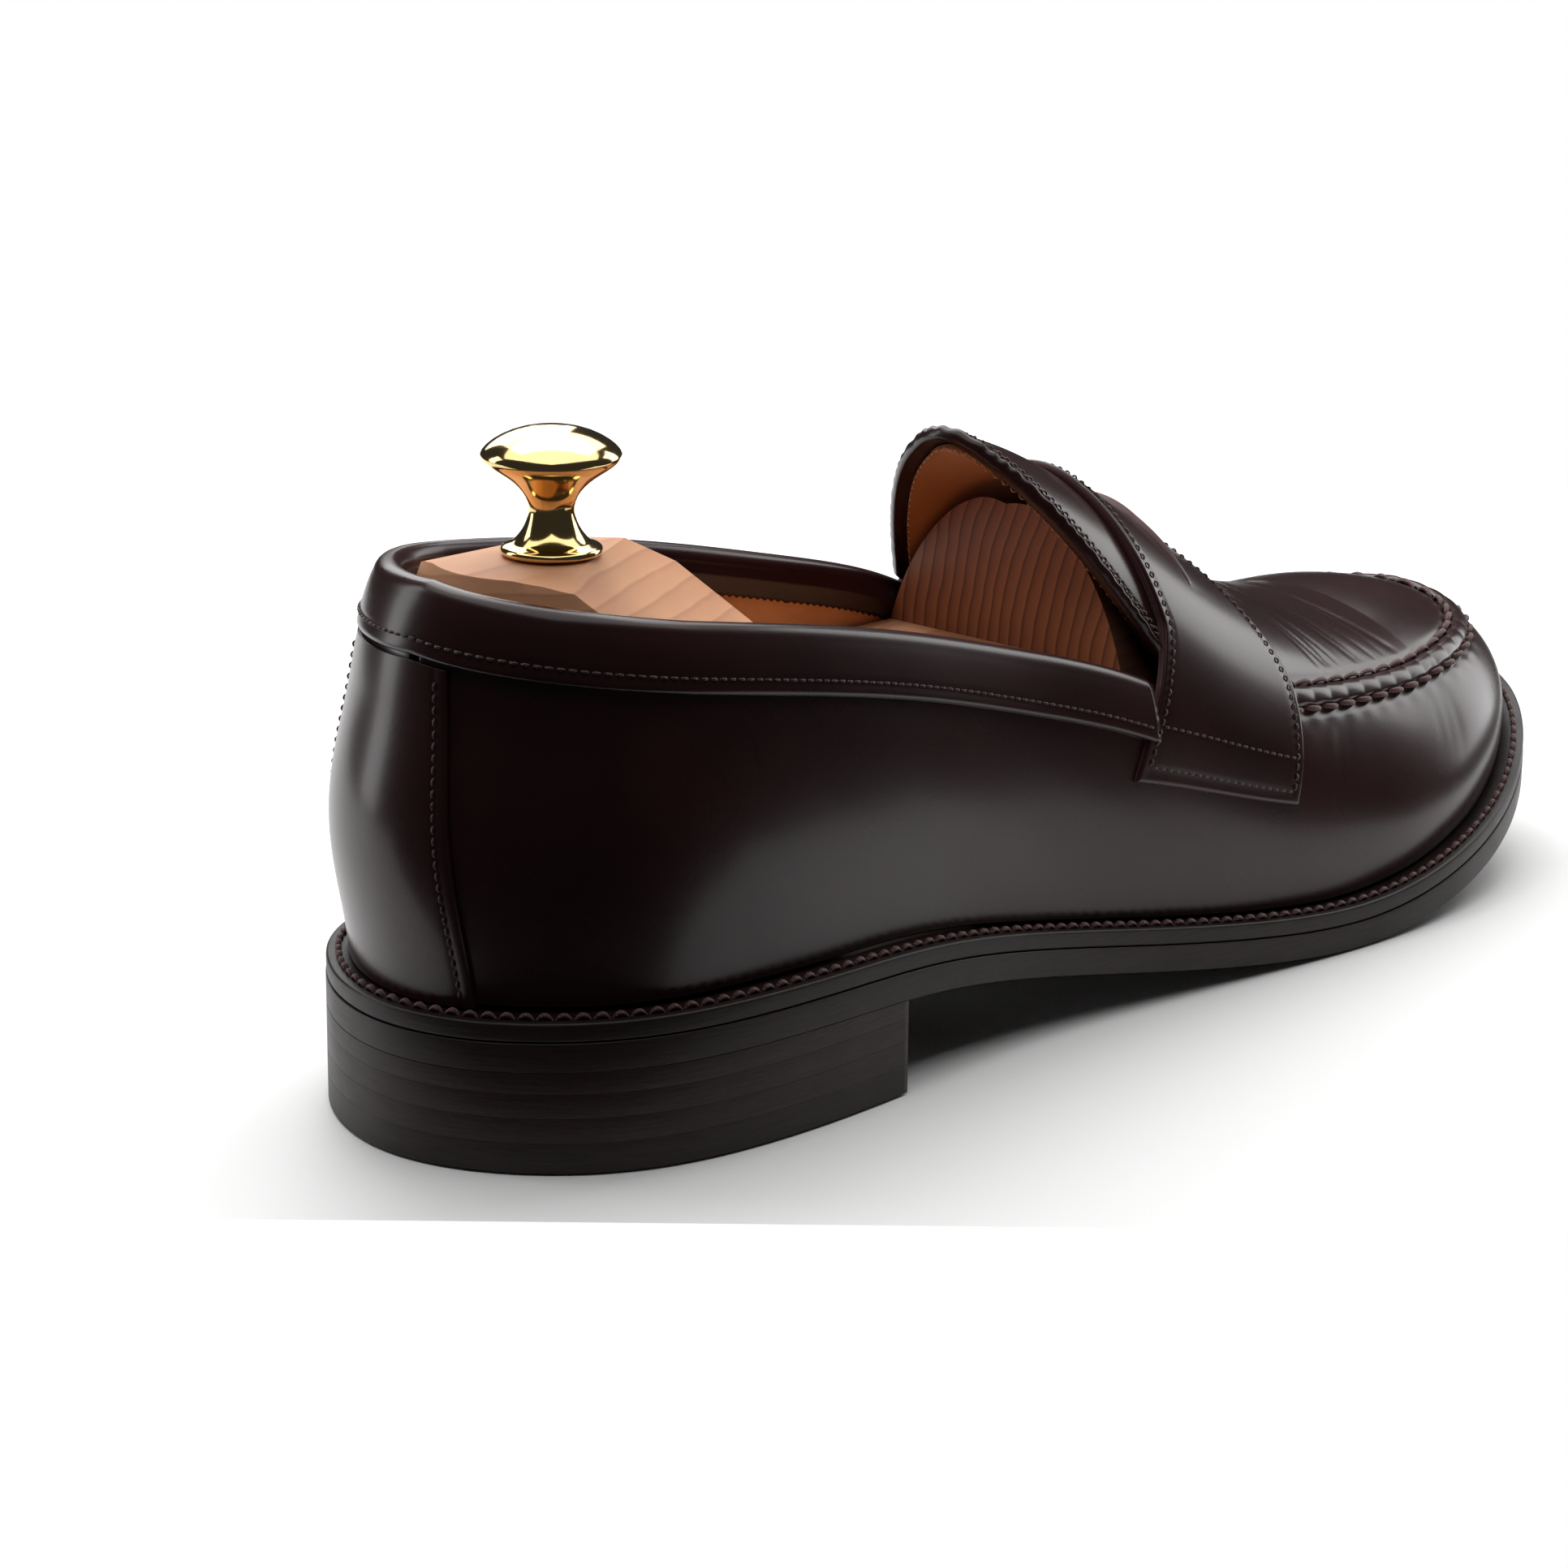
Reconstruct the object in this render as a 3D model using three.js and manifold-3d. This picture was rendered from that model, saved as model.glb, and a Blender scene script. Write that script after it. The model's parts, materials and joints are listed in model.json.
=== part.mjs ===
// Penny loafer, right foot, with the sprung shoe tree that keeps its shape.
// Millimetres, +Z up, +X to the toe, +Y to the inner side of the foot.
import * as THREE from "three";
import { mergeVertices } from "three/addons/utils/BufferGeometryUtils.js";
import Module from "manifold-3d";

const wasm = await Module();
wasm.setup();

// ---------------------------------------------------------------- driving dimensions
const SOLE_THICKNESS = 5; // leather outsole
const EDGE_THICKNESS = 8.4; // outsole, gap and welt together
const WELT_REACH = 5.3; // sole edge outside the foot of the upper
const WELT_INSIDE = 7; // welt inside the foot of the upper
const GAP = 0.35; // clear space between touching pieces
const TOP_PIECE = 5; // rubber under the heel
const LIFT = 3.9; // one leather lift of the heel
const HEEL_BREAST = -70; // front face of the heel
const HEEL_PIVOT = -112; // centre of the round of the heel
const TOE_PIVOT = 94; // centre of the round of the toe
const SIDE_SWELL = 3.5; // how far the side of the upper swells past its foot
const HEEL_SWELL = 2.4; // how much further the round of the heel swells, low down

const UPPER_THICKNESS = 1.4; // main leather of the upper
const TRIM_THICKNESS = 1.3; // strap, collar and back strap laid over it
const STIFFENER_THICKNESS = 0.8;
const LINING_THICKNESS = 1.0;
const LAYER_GAP = 0.45; // clear space between layers of leather

const COLLAR_HEIGHT = 12;
const APRON_HEIGHT = 44.6; // lowest height of the seam round the apron
const APRON_SEAM_WIDTH = 5;

const TREE_CLEARANCE = 0.7; // forepart of the tree to the lining
const TREE_CROWN = 5; // more clearance under the ridge of the instep
const HEEL_CLEARANCE = 1.8; // heel block of the tree to the lining
const SHELF_TOP = 60; // flat rear part of the tree's forepart
const SHELF_END = -45;
const HEEL_BLOCK_TOP = 94.5;
const HEEL_BLOCK_ROUND = 60; // radius of its crown, seen along the shoe
const TUBE_HEIGHT = 46;
const TUBE_RADIUS = 6;
const ROD_RADIUS = 3.8;
const KNOB_X = -113;
const KNOB_RADIUS = 11.9;

// Half outline of the foot of the upper, the height of the sole's underside and of the ridge
// over the instep, from the back of the heel to the tip of the toe.
const STATIONS = [
  { x: -146, outer: 0, inner: 0, under: 17, ridge: 124 },
  { x: -138, outer: -20.5, inner: 22, under: 17.2, ridge: 124 },
  { x: -119, outer: -33.5, inner: 35.5, under: 17.3, ridge: 123 },
  { x: -90, outer: -37.5, inner: 37.5, under: 17.2, ridge: 119 },
  { x: -60, outer: -36.5, inner: 35, under: 15.8, ridge: 113 },
  { x: -30, outer: -35.5, inner: 33, under: 11, ridge: 106 },
  { x: 0, outer: -38, inner: 34, under: 5.5, ridge: 96.5 },
  { x: 30, outer: -42, inner: 39.5, under: 1.2, ridge: 78.5 },
  { x: 58, outer: -45, inner: 46, under: 0, ridge: 64 },
  { x: 85, outer: -44.5, inner: 47.5, under: 3.8, ridge: 57 },
  { x: 110, outer: -38, inner: 43, under: 10.5, ridge: 54 },
  { x: 130, outer: -25.5, inner: 33, under: 18, ridge: 53 },
  { x: 142, outer: -10, inner: 18, under: 22.5, ridge: 53 },
  { x: 146, outer: 4, inner: 4, under: 23.5, ridge: 53 },
];
const LAST = STATIONS.length - 1;
const DEG = Math.PI / 180;

// ---------------------------------------------------------------- curves through the stations
function smooth(control) {
  return (u) => {
    const c = Math.min(Math.max(u, 0), LAST);
    const i = Math.min(Math.floor(c), LAST - 1);
    const t = c - i;
    const s = 1 - t;
    const a = s * s * s * control[i];
    const b = (3 * t * t * t - 6 * t * t + 4) * control[i + 1];
    const d = (3 * s * s * s - 6 * s * s + 4) * control[i + 2];
    return (a + b + d + t * t * t * control[i + 3]) / 6;
  };
}

// Two curves, one on each side, that run into each other at the heel and at the toe.
function curvePair(outerKey, innerKey) {
  const want = [STATIONS.map((s) => s[outerKey]), STATIONS.map((s) => s[innerKey])];
  let have = want.map((row) => row.slice());
  const padded = () => [
    [have[1][1], ...have[0], have[1][LAST - 1]],
    [have[0][1], ...have[1], have[0][LAST - 1]],
  ];
  for (let round = 0; round < 60; round++) {
    const pad = padded();
    have = have.map((row, k) =>
      row.map((v, i) => v + want[k][i] - (pad[k][i] + 4 * pad[k][i + 1] + pad[k][i + 2]) / 6)
    );
  }
  return padded().map(smooth);
}
const [lengthAt] = curvePair("x", "x");
const [outerAt, innerAt] = curvePair("outer", "inner");
const [underAt] = curvePair("under", "under");
const [ridgeAt] = curvePair("ridge", "ridge");

function stationAt(x) {
  let low = 0;
  let high = LAST;
  for (let i = 0; i < 40; i++) {
    const mid = (low + high) / 2;
    if (lengthAt(mid) < x) low = mid;
    else high = mid;
  }
  return (low + high) / 2;
}
const TOE_STATION = stationAt(TOE_PIVOT);
const middleAt = (u) => (outerAt(u) + innerAt(u)) / 2;
const soleTopAt = (u) => underAt(u) + EDGE_THICKNESS;
const sideAt = (side, u) => (side < 0 ? outerAt(u) : innerAt(u));

// ---------------------------------------------------------------- surface of the upper
// side -1 is the outer side of the foot and +1 the inner. angle runs from the foot of the
// upper, 0 degrees, to the ridge, 90 degrees.
function skin(side, u, angle) {
  const c = Math.cos(angle * DEG);
  const s = Math.sin(angle * DEG);
  const x = lengthAt(u);
  const y = sideAt(side, u);
  const pivotX = Math.min(Math.max(x, HEEL_PIVOT), TOE_PIVOT);
  const pivotY = middleAt(stationAt(pivotX));
  const foot = soleTopAt(u);
  const top = ridgeAt(Math.min(u, TOE_STATION));
  const inward = new THREE.Vector2(pivotX - x, pivotY - y);
  const reach = inward.length() || 1;
  const low = Math.sin(Math.min(angle / 30, 1) * Math.PI) ** 2;
  const atHeel = Math.max(1 - (u / 4) ** 2, 0) ** 2;
  const swell = SIDE_SWELL * Math.sin(Math.min(angle / 75, 1) * Math.PI) + HEEL_SWELL * low * atHeel;
  const step = 1 - c - swell / reach;
  return new THREE.Vector3(x + inward.x * step, y + inward.y * step, foot + (top - foot) * s);
}

function skinNormal(side, u, angle) {
  const h = 0.02;
  const a = Math.min(Math.max(angle, 0.5), 89);
  if (angle > 89.99) return ridgeNormal(Math.min(u, TOE_STATION));
  const along = skin(side, Math.min(u + h, LAST), a).sub(skin(side, Math.max(u - h, 0), a));
  if (u < h) along.copy(skin(side, h, a)).sub(skin(-side, h, a));
  if (u > LAST - h) along.copy(skin(-side, LAST - h, a)).sub(skin(side, LAST - h, a));
  const up = skin(side, u, a + 0.5).sub(skin(side, u, a - 0.5));
  const n = along.cross(up).normalize();
  return side > 0 ? n.negate() : n;
}

function ridgeNormal(u) {
  const h = 0.02;
  const rise = ridgeAt(u) - ridgeAt(u - h);
  const run = lengthAt(u) - lengthAt(u - h);
  return new THREE.Vector3(-rise, 0, run).normalize();
}

function layerPoint(at, depth) {
  const p = skin(at.side, at.u, at.angle);
  return p.addScaledVector(skinNormal(at.side, at.u, at.angle), depth);
}

// Angle at which the side of the upper reaches a height.
function angleAtHeight(u, height) {
  const foot = soleTopAt(u);
  const top = ridgeAt(Math.min(u, TOE_STATION));
  const s = Math.min(Math.max((height - foot) / (top - foot), 0.01), 1);
  return Math.asin(s) / DEG;
}

// ---------------------------------------------------------------- mesh building
function keyOf(p) {
  return [p.x, p.y, p.z].map((v) => Math.round(v * 2000)).join(",");
}

class Builder {
  constructor() {
    this.points = [];
    this.seen = new Map();
    this.faces = [];
  }
  point(p) {
    const key = keyOf(p);
    if (!this.seen.has(key)) {
      this.seen.set(key, this.points.length);
      this.points.push(p.x, p.y, p.z);
    }
    return this.seen.get(key) / 3;
  }
  face(a, b, c) {
    const ids = [a, b, c].map((p) => this.point(p));
    if (ids[0] === ids[1] || ids[1] === ids[2] || ids[0] === ids[2]) return;
    this.faces.push(...ids);
  }
  quad(a, b, c, d) {
    this.face(a, b, c);
    this.face(a, c, d);
  }
  geometry() {
    const geometry = new THREE.BufferGeometry();
    geometry.setAttribute("position", new THREE.Float32BufferAttribute(this.points, 3));
    geometry.setIndex(this.faces);
    if (volumeOf(geometry) < 0) flip(geometry);
    return geometry;
  }
}

function volumeOf(geometry) {
  const p = geometry.attributes.position;
  const ids = geometry.index.array;
  const [a, b, c] = [new THREE.Vector3(), new THREE.Vector3(), new THREE.Vector3()];
  let sum = 0;
  for (let i = 0; i < ids.length; i += 3) {
    a.fromBufferAttribute(p, ids[i]);
    b.fromBufferAttribute(p, ids[i + 1]);
    c.fromBufferAttribute(p, ids[i + 2]);
    sum += a.dot(b.clone().cross(c));
  }
  return sum / 6;
}

function flip(geometry) {
  const ids = geometry.index.array;
  for (let i = 0; i < ids.length; i += 3) {
    const kept = ids[i + 1];
    ids[i + 1] = ids[i + 2];
    ids[i + 2] = kept;
  }
}

// A sheet between two grids of points, closed round its edges. Where its last column lies on
// the ridge, the two sides of the foot meet there and that edge needs no closing.
function sheetBetween(o, n, onRidge) {
  const build = new Builder();
  const rows = o.length - 1;
  const columns = o[0].length - 1;
  for (let i = 0; i < rows; i++) {
    for (let j = 0; j < columns; j++) {
      build.quad(o[i][j], o[i + 1][j], o[i + 1][j + 1], o[i][j + 1]);
      build.quad(n[i][j + 1], n[i + 1][j + 1], n[i + 1][j], n[i][j]);
    }
    build.quad(n[i][0], n[i + 1][0], o[i + 1][0], o[i][0]);
    if (!onRidge) build.quad(o[i][columns], o[i + 1][columns], n[i + 1][columns], n[i][columns]);
  }
  for (let j = 0; j < columns; j++) {
    build.quad(o[0][j], o[0][j + 1], n[0][j + 1], n[0][j]);
    build.quad(n[rows][j], n[rows][j + 1], o[rows][j + 1], o[rows][j]);
  }
  return build.geometry();
}

// A piece of the upper. place(a, b) gives side, station and angle for a and b from 0 to 1.
function leather(rows, columns, place, outside, thickness, onRidge = false) {
  const grid = (depth) =>
    Array.from({ length: rows + 1 }, (_, i) =>
      Array.from({ length: columns + 1 }, (_, j) => layerPoint(place(i / rows, j / columns), depth))
    );
  return sheetBetween(grid(outside), grid(outside - thickness), onRidge);
}

const mix = (a, b, t) => a + (b - a) * t;
const ease = (t) => {
  const c = Math.min(Math.max(t, 0), 1);
  return c * c * (3 - 2 * c);
};

// Position along the loop that goes round the heel: negative on the outer side.
function aroundHeel(loop) {
  return { side: loop < 0 ? -1 : 1, u: Math.abs(loop) };
}

// Position across the ridge: negative on the outer side, 90 degrees at its middle.
function acrossRidge(u, across) {
  return { side: across < 0 ? -1 : 1, u, angle: 90 - Math.abs(across) };
}

// ---------------------------------------------------------------- sole outlines
// Height of the sole's underside along the foot. It runs on straight past the last stations.
const TIP = 140;
const tipHeight = underAt(stationAt(TIP));
const tipRise = (underAt(LAST) - tipHeight) / (lengthAt(LAST) - TIP);
const under = (x) => (x < TIP ? underAt(stationAt(x)) : tipHeight + tipRise * (x - TIP));
const soleTop = (x) => under(x) + EDGE_THICKNESS;

function outline(offset, from, to, count) {
  const points = [];
  const edge = (side, u) => {
    const h = 0.02;
    const a = footPoint(side, u - h);
    const b = footPoint(side, u + h);
    const tangent = b.sub(a).normalize();
    const out = new THREE.Vector2(tangent.y, -tangent.x).multiplyScalar(-side);
    return footPoint(side, u).addScaledVector(out, offset);
  };
  for (let i = 0; i <= count; i++) points.push(edge(1, mix(to, from, i / count)));
  for (let i = 1; i <= count; i++) points.push(edge(-1, mix(from, to, i / count)));
  return points;
}

// The foot of the upper, carried past the heel and the toe onto the other side.
function footPoint(side, u) {
  if (u < 0) return new THREE.Vector2(lengthAt(-u), sideAt(-side, -u));
  if (u > LAST) return new THREE.Vector2(lengthAt(2 * LAST - u), sideAt(-side, 2 * LAST - u));
  return new THREE.Vector2(lengthAt(u), sideAt(side, u));
}

// A slab under the foot; its lower and upper faces follow a height for each station.
function slab(offset, from, to, count, lowAt, highAt) {
  const build = new Builder();
  const edge = outline(offset, from, to, count);
  const half = count;
  const low = edge.map((p) => new THREE.Vector3(p.x, p.y, lowAt(p.x)));
  const high = edge.map((p) => new THREE.Vector3(p.x, p.y, highAt(p.x)));
  const total = edge.length;
  for (let i = 0; i < half; i++) {
    const a = i;
    const b = i + 1;
    const c = total - 2 - i;
    const d = total - 1 - i;
    build.quad(high[a], high[b], high[c], high[d]);
    build.quad(low[d], low[c], low[b], low[a]);
  }
  for (let i = 0; i < total - 1; i++) build.quad(low[i], low[i + 1], high[i + 1], high[i]);
  build.quad(low[total - 1], low[0], high[0], high[total - 1]);
  return build.geometry();
}

// The same slab with its outline hollowed out to a band.
function ring(outside, inside, count, lowAt, highAt) {
  const build = new Builder();
  const out = outline(outside, 0, LAST, count).slice(0, -1);
  const inn = outline(-inside, 0, LAST, count).slice(0, -1);
  const total = out.length;
  const at = (p, z) => new THREE.Vector3(p.x, p.y, z(p.x));
  for (let i = 0; i < total; i++) {
    const j = (i + 1) % total;
    build.quad(at(out[i], highAt), at(out[j], highAt), at(inn[j], highAt), at(inn[i], highAt));
    build.quad(at(inn[i], lowAt), at(inn[j], lowAt), at(out[j], lowAt), at(out[i], lowAt));
    build.quad(at(out[i], lowAt), at(out[j], lowAt), at(out[j], highAt), at(out[i], highAt));
    build.quad(at(inn[j], lowAt), at(inn[i], lowAt), at(inn[i], highAt), at(inn[j], highAt));
  }
  return build.geometry();
}

// ---------------------------------------------------------------- joining and cutting
function toManifold(geometry) {
  const plain = geometry.clone();
  plain.deleteAttribute("normal");
  plain.deleteAttribute("uv");
  const welded = mergeVertices(plain, 1e-4);
  return new wasm.Manifold(
    new wasm.Mesh({
      numProp: 3,
      vertProperties: Float32Array.from(welded.attributes.position.array),
      triVerts: Uint32Array.from(welded.index.array),
    })
  );
}

function fromManifold(body) {
  const mesh = body.getMesh();
  const geometry = new THREE.BufferGeometry();
  geometry.setAttribute("position", new THREE.BufferAttribute(Float32Array.from(mesh.vertProperties), 3));
  geometry.setIndex(Array.from(mesh.triVerts));
  return geometry;
}

function cut(geometry, ...tools) {
  let body = toManifold(geometry);
  for (const tool of tools) body = body.subtract(toManifold(tool));
  return fromManifold(body);
}

function keepInside(geometry, tool) {
  return fromManifold(toManifold(geometry).intersect(toManifold(tool)));
}

function box(x0, x1, y0, y1, z0, z1) {
  const geometry = new THREE.BoxGeometry(x1 - x0, y1 - y0, z1 - z0);
  return geometry.translate((x0 + x1) / 2, (y0 + y1) / 2, (z0 + z1) / 2);
}

// A round bar along X.
function bar(radius, x0, x1, z, sides = 24) {
  const geometry = new THREE.CylinderGeometry(radius, radius, x1 - x0, sides);
  return geometry.rotateZ(-Math.PI / 2).translate((x0 + x1) / 2, 0, z);
}

// A turned piece standing on Z, from pairs of radius and height that start and end on the axis.
function turned(profile, x, sides = 24) {
  const points = profile.map(([r, z]) => new THREE.Vector2(r, z));
  return new THREE.LatheGeometry(points, sides).rotateX(Math.PI / 2).translate(x, 0, 0);
}

// ---------------------------------------------------------------- the parts
const part = new THREE.Group();
part.name = "penny_loafer";

const MATERIALS = {
  upper_leather: [0x2a1214, 0.3, 0],
  trim_leather: [0x301416, 0.32, 0],
  lining_leather: [0xb5713c, 0.7, 0],
  stiffener: [0xa98d68, 0.85, 0],
  sole_leather: [0x1c1210, 0.45, 0],
  insole_leather: [0xb98a5a, 0.75, 0],
  cork: [0x9c6a3c, 0.9, 0],
  rubber: [0x151313, 0.7, 0],
  cedar: [0xb5734a, 0.65, 0],
  brass: [0xd8a638, 0.15, 1],
  steel: [0x9a9a98, 0.3, 1],
};

function add(name, geometry, look) {
  const [color, roughness, metalness] = MATERIALS[look];
  const plain = geometry.clone();
  plain.deleteAttribute("normal");
  plain.deleteAttribute("uv");
  const mesh = new THREE.Mesh(plain, new THREE.MeshStandardMaterial({ color, roughness, metalness }));
  mesh.name = name;
  part.add(mesh);
  return mesh;
}

// Sole: outsole, welt on top of it, heel built of lifts on a rubber top piece.
const breast = stationAt(HEEL_BREAST);
const samples = Array.from({ length: 400 }, (_, i) => underAt((LAST * i) / 400));
const ground = Math.min(...samples);
add(
  "outsole",
  slab(WELT_REACH, 0, LAST, 36, under, (x) => under(x) + SOLE_THICKNESS),
  "sole_leather"
);
add(
  "welt",
  ring(WELT_REACH - 0.4, WELT_INSIDE, 36, (x) => under(x) + SOLE_THICKNESS + GAP, soleTop),
  "sole_leather"
);
add("heel_top_piece", slab(WELT_REACH - 0.2, 0, breast, 16, () => ground, () => TOP_PIECE), "rubber");
const LIFT_NAMES = ["heel_lift_lower", "heel_lift_middle"];
LIFT_NAMES.forEach((name, i) => {
  const low = TOP_PIECE + GAP + i * (LIFT + GAP);
  add(name, slab(WELT_REACH - 0.2, 0, breast, 16, () => low, () => low + LIFT), "sole_leather");
});
const seatLow = TOP_PIECE + GAP + LIFT_NAMES.length * (LIFT + GAP);
add(
  "heel_seat_lift",
  slab(WELT_REACH - 0.2, 0, breast, 16, () => seatLow, (x) => under(x) - GAP),
  "sole_leather"
);

// Inside the sole: cork in the forepart and a steel shank under the waist, both inside the welt.
const fillLow = (x) => under(x) + SOLE_THICKNESS + GAP;
const fillHigh = (x) => soleTop(x) - GAP;
const waist = stationAt(0);
add("cork_filler", slab(-WELT_INSIDE - 1, waist + 0.1, LAST - 0.9, 20, fillLow, fillHigh), "cork");
add("heel_seat_board", slab(-WELT_INSIDE - 1, 0.9, breast - 0.1, 12, fillLow, fillHigh), "stiffener");
add(
  "shank",
  slab(-WELT_INSIDE - 18, breast, waist, 10, (x) => fillLow(x) + 0.6, (x) => fillHigh(x) - 0.6),
  "steel"
);
const INSOLE_INSET = 4.6;
const INSOLE_THICKNESS = 2;
const insoleTop = (x) => soleTop(x) + GAP + INSOLE_THICKNESS;
add("insole", slab(-INSOLE_INSET, 0, LAST, 36, (x) => soleTop(x) + GAP, insoleTop), "insole_leather");
add(
  "heel_sock",
  slab(-INSOLE_INSET - 2, 0, stationAt(-40), 20, (x) => insoleTop(x) + GAP, (x) => insoleTop(x) + 1.4),
  "lining_leather"
);

// Layers of the upper, counted outward from its main surface.
const FOOT_ANGLE = 3;
const liningOut = -UPPER_THICKNESS - LAYER_GAP - STIFFENER_THICKNESS - LAYER_GAP;
const stiffOut = -UPPER_THICKNESS - LAYER_GAP;
const trimOut = LAYER_GAP + TRIM_THICKNESS;
const liningDepth = -liningOut + LINING_THICKNESS;

// Topline of the shoe, higher at the heel, and the lower edge of the collar band.
const toplineAngle = (side, u) => 44.8 - (side < 0 ? 1.8 : 0.55) * u;
const toplineHeight = (side, u) => skin(side, u, toplineAngle(side, u)).z;
const collarFootAngle = (side, u) => angleAtHeight(u, toplineHeight(side, u) - COLLAR_HEIGHT);

// Edges of the saddle strap, for a number of degrees across the ridge.
function strapRear(across) {
  return stationAt(8 - 12 * Math.max(0, (Math.abs(across) - 46) / 24) ** 1.2);
}
function strapFront(across) {
  const t = Math.abs(across);
  return stationAt(32 + 10.8 * ease(t / 48) - 5.3 * Math.max(0, (t - 48) / 23) ** 1.2);
}

// Upper edge of the side wall: the topline behind the strap, the apron seam in front of it.
const APRON_LOW = 9.2; // station where the seam is lowest
function apronAngle(u) {
  const ahead = 1.2 * Math.max(u - APRON_LOW, 0);
  const behind = 1.25 * Math.max(APRON_LOW - u, 0) ** 2;
  return angleAtHeight(u, APRON_HEIGHT + ahead + behind);
}
const wallAngle = (side, u) => mix(toplineAngle(side, u), apronAngle(u), ease((lengthAt(u) - 8) / 26));
const QUARTER_END = stationAt(10);
const VAMP_START = stationAt(11.5);

// Lining: one piece round the heel, one under the vamp.
add(
  "quarter_lining",
  leather(
    40,
    10,
    (a, b) => {
      const at = aroundHeel(mix(-QUARTER_END, QUARTER_END, a));
      return { ...at, angle: mix(FOOT_ANGLE + 5, toplineAngle(at.side, at.u) - 1.5, b) };
    },
    liningOut,
    LINING_THICKNESS
  ),
  "lining_leather"
);
add(
  "heel_stiffener",
  leather(
    22,
    9,
    (a, b) => {
      const at = aroundHeel(mix(-3.6, 3.6, a));
      const top = collarFootAngle(at.side, at.u) - 1 - 12 * (at.u / 3.6) ** 2;
      return { ...at, angle: mix(FOOT_ANGLE + 4, top, b) };
    },
    stiffOut,
    STIFFENER_THICKNESS
  ),
  "stiffener"
);

// Back strap over the rear seam, wider at its foot and further round on the inner side.
add(
  "back_strap",
  leather(
    12,
    10,
    (a, b) => {
      const outerEdge = mix(0.62, 0.36, b);
      const innerEdge = mix(1.55, 1.3, b);
      const at = aroundHeel(mix(-outerEdge, innerEdge, a));
      return { ...at, angle: mix(FOOT_ANGLE, collarFootAngle(at.side, at.u) - 0.6, b) };
    },
    trimOut,
    TRIM_THICKNESS
  ),
  "trim_leather"
);

// Collar band round the topline.
add(
  "collar_band",
  leather(
    40,
    3,
    (a, b) => {
      const end = strapRear(90 - mix(23, 33, b)) - 0.1;
      const at = aroundHeel(mix(-end, end, a));
      return { ...at, angle: mix(collarFootAngle(at.side, at.u), toplineAngle(at.side, at.u), b) };
    },
    trimOut,
    TRIM_THICKNESS
  ),
  "trim_leather"
);

// Vamp: one piece that runs from the seam at the middle of the heel, along the outer side, round
// the toe and back along the inner side. The apron closes the top of the forepart.
function roundToe(a, from) {
  const loop = mix(from - LAST, LAST - from, a);
  return { side: loop < 0 ? -1 : 1, u: LAST - Math.abs(loop) };
}
const BACK_SEAM = 0.03;
const SEAM_GAP = 0.6; // half the slot between vamp and apron, in degrees
add(
  "vamp",
  leather(
    128,
    10,
    (a, b) => {
      const at = roundToe(a, BACK_SEAM);
      return { ...at, angle: mix(FOOT_ANGLE, wallAngle(at.side, at.u) - SEAM_GAP, b) };
    },
    0,
    UPPER_THICKNESS
  ),
  "upper_leather"
);
const foreparts = (low) => (a, b) => {
  const at = roundToe(a, VAMP_START);
  return { ...at, angle: mix(low(at), 90, b) };
};
const apronLow = (at) => wallAngle(at.side, at.u) + SEAM_GAP;
add("apron", leather(44, 6, foreparts(apronLow), 0, UPPER_THICKNESS, true), "upper_leather");
add(
  "toe_puff",
  leather(
    20,
    6,
    (a, b) => {
      const at = roundToe(a, stationAt(100));
      return { ...at, angle: mix(FOOT_ANGLE + 5, 88, b) };
    },
    stiffOut,
    STIFFENER_THICKNESS
  ),
  "stiffener"
);
add(
  "vamp_lining",
  leather(44, 8, foreparts(() => FOOT_ANGLE + 5), liningOut, LINING_THICKNESS, true),
  "lining_leather"
);

// Raised seam over the slot between apron and vamp.
const SEAM_START = stationAt(47);
add(
  "apron_seam",
  leather(
    40,
    2,
    (a, b) => {
      const at = roundToe(a, SEAM_START);
      const half = (APRON_SEAM_WIDTH / 2 / Math.hypot(15, ridgeAt(at.u) - soleTopAt(at.u))) / DEG;
      return { ...at, angle: apronAngle(at.u) + mix(-half, half, b) };
    },
    LAYER_GAP + 1.4,
    1.4
  ),
  "trim_leather"
);

// Tongue: its rear edge lies in a plane that leans back over the instep.
const TONGUE_FOOT = { x: 6, z: 63 };
const TONGUE_LEAN = 0.6;
function tongueRear(across) {
  let low = stationAt(-60);
  let high = stationAt(20);
  for (let i = 0; i < 30; i++) {
    const mid = (low + high) / 2;
    const p = skin(across < 0 ? -1 : 1, mid, 90 - Math.abs(across));
    if (p.x + TONGUE_LEAN * p.z < TONGUE_FOOT.x + TONGUE_LEAN * TONGUE_FOOT.z) low = mid;
    else high = mid;
  }
  return (low + high) / 2;
}
function tonguePlace(inset, rear, front) {
  return (a, b) => {
    const across = mix(-TONGUE_OUTER + inset, TONGUE_INNER - inset, a);
    return acrossRidge(mix(tongueRear(across) + rear, front, b), across);
  };
}
const TONGUE_OUTER = 54; // degrees across the ridge at its outer and inner ends
const TONGUE_INNER = 48;
add(
  "tongue",
  leather(18, 4, tonguePlace(0, 0, VAMP_START - 0.05), 0, UPPER_THICKNESS),
  "upper_leather"
);
add(
  "tongue_lining",
  leather(18, 4, tonguePlace(1, 0.12, VAMP_START - 0.05), liningOut, LINING_THICKNESS),
  "lining_leather"
);

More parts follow.
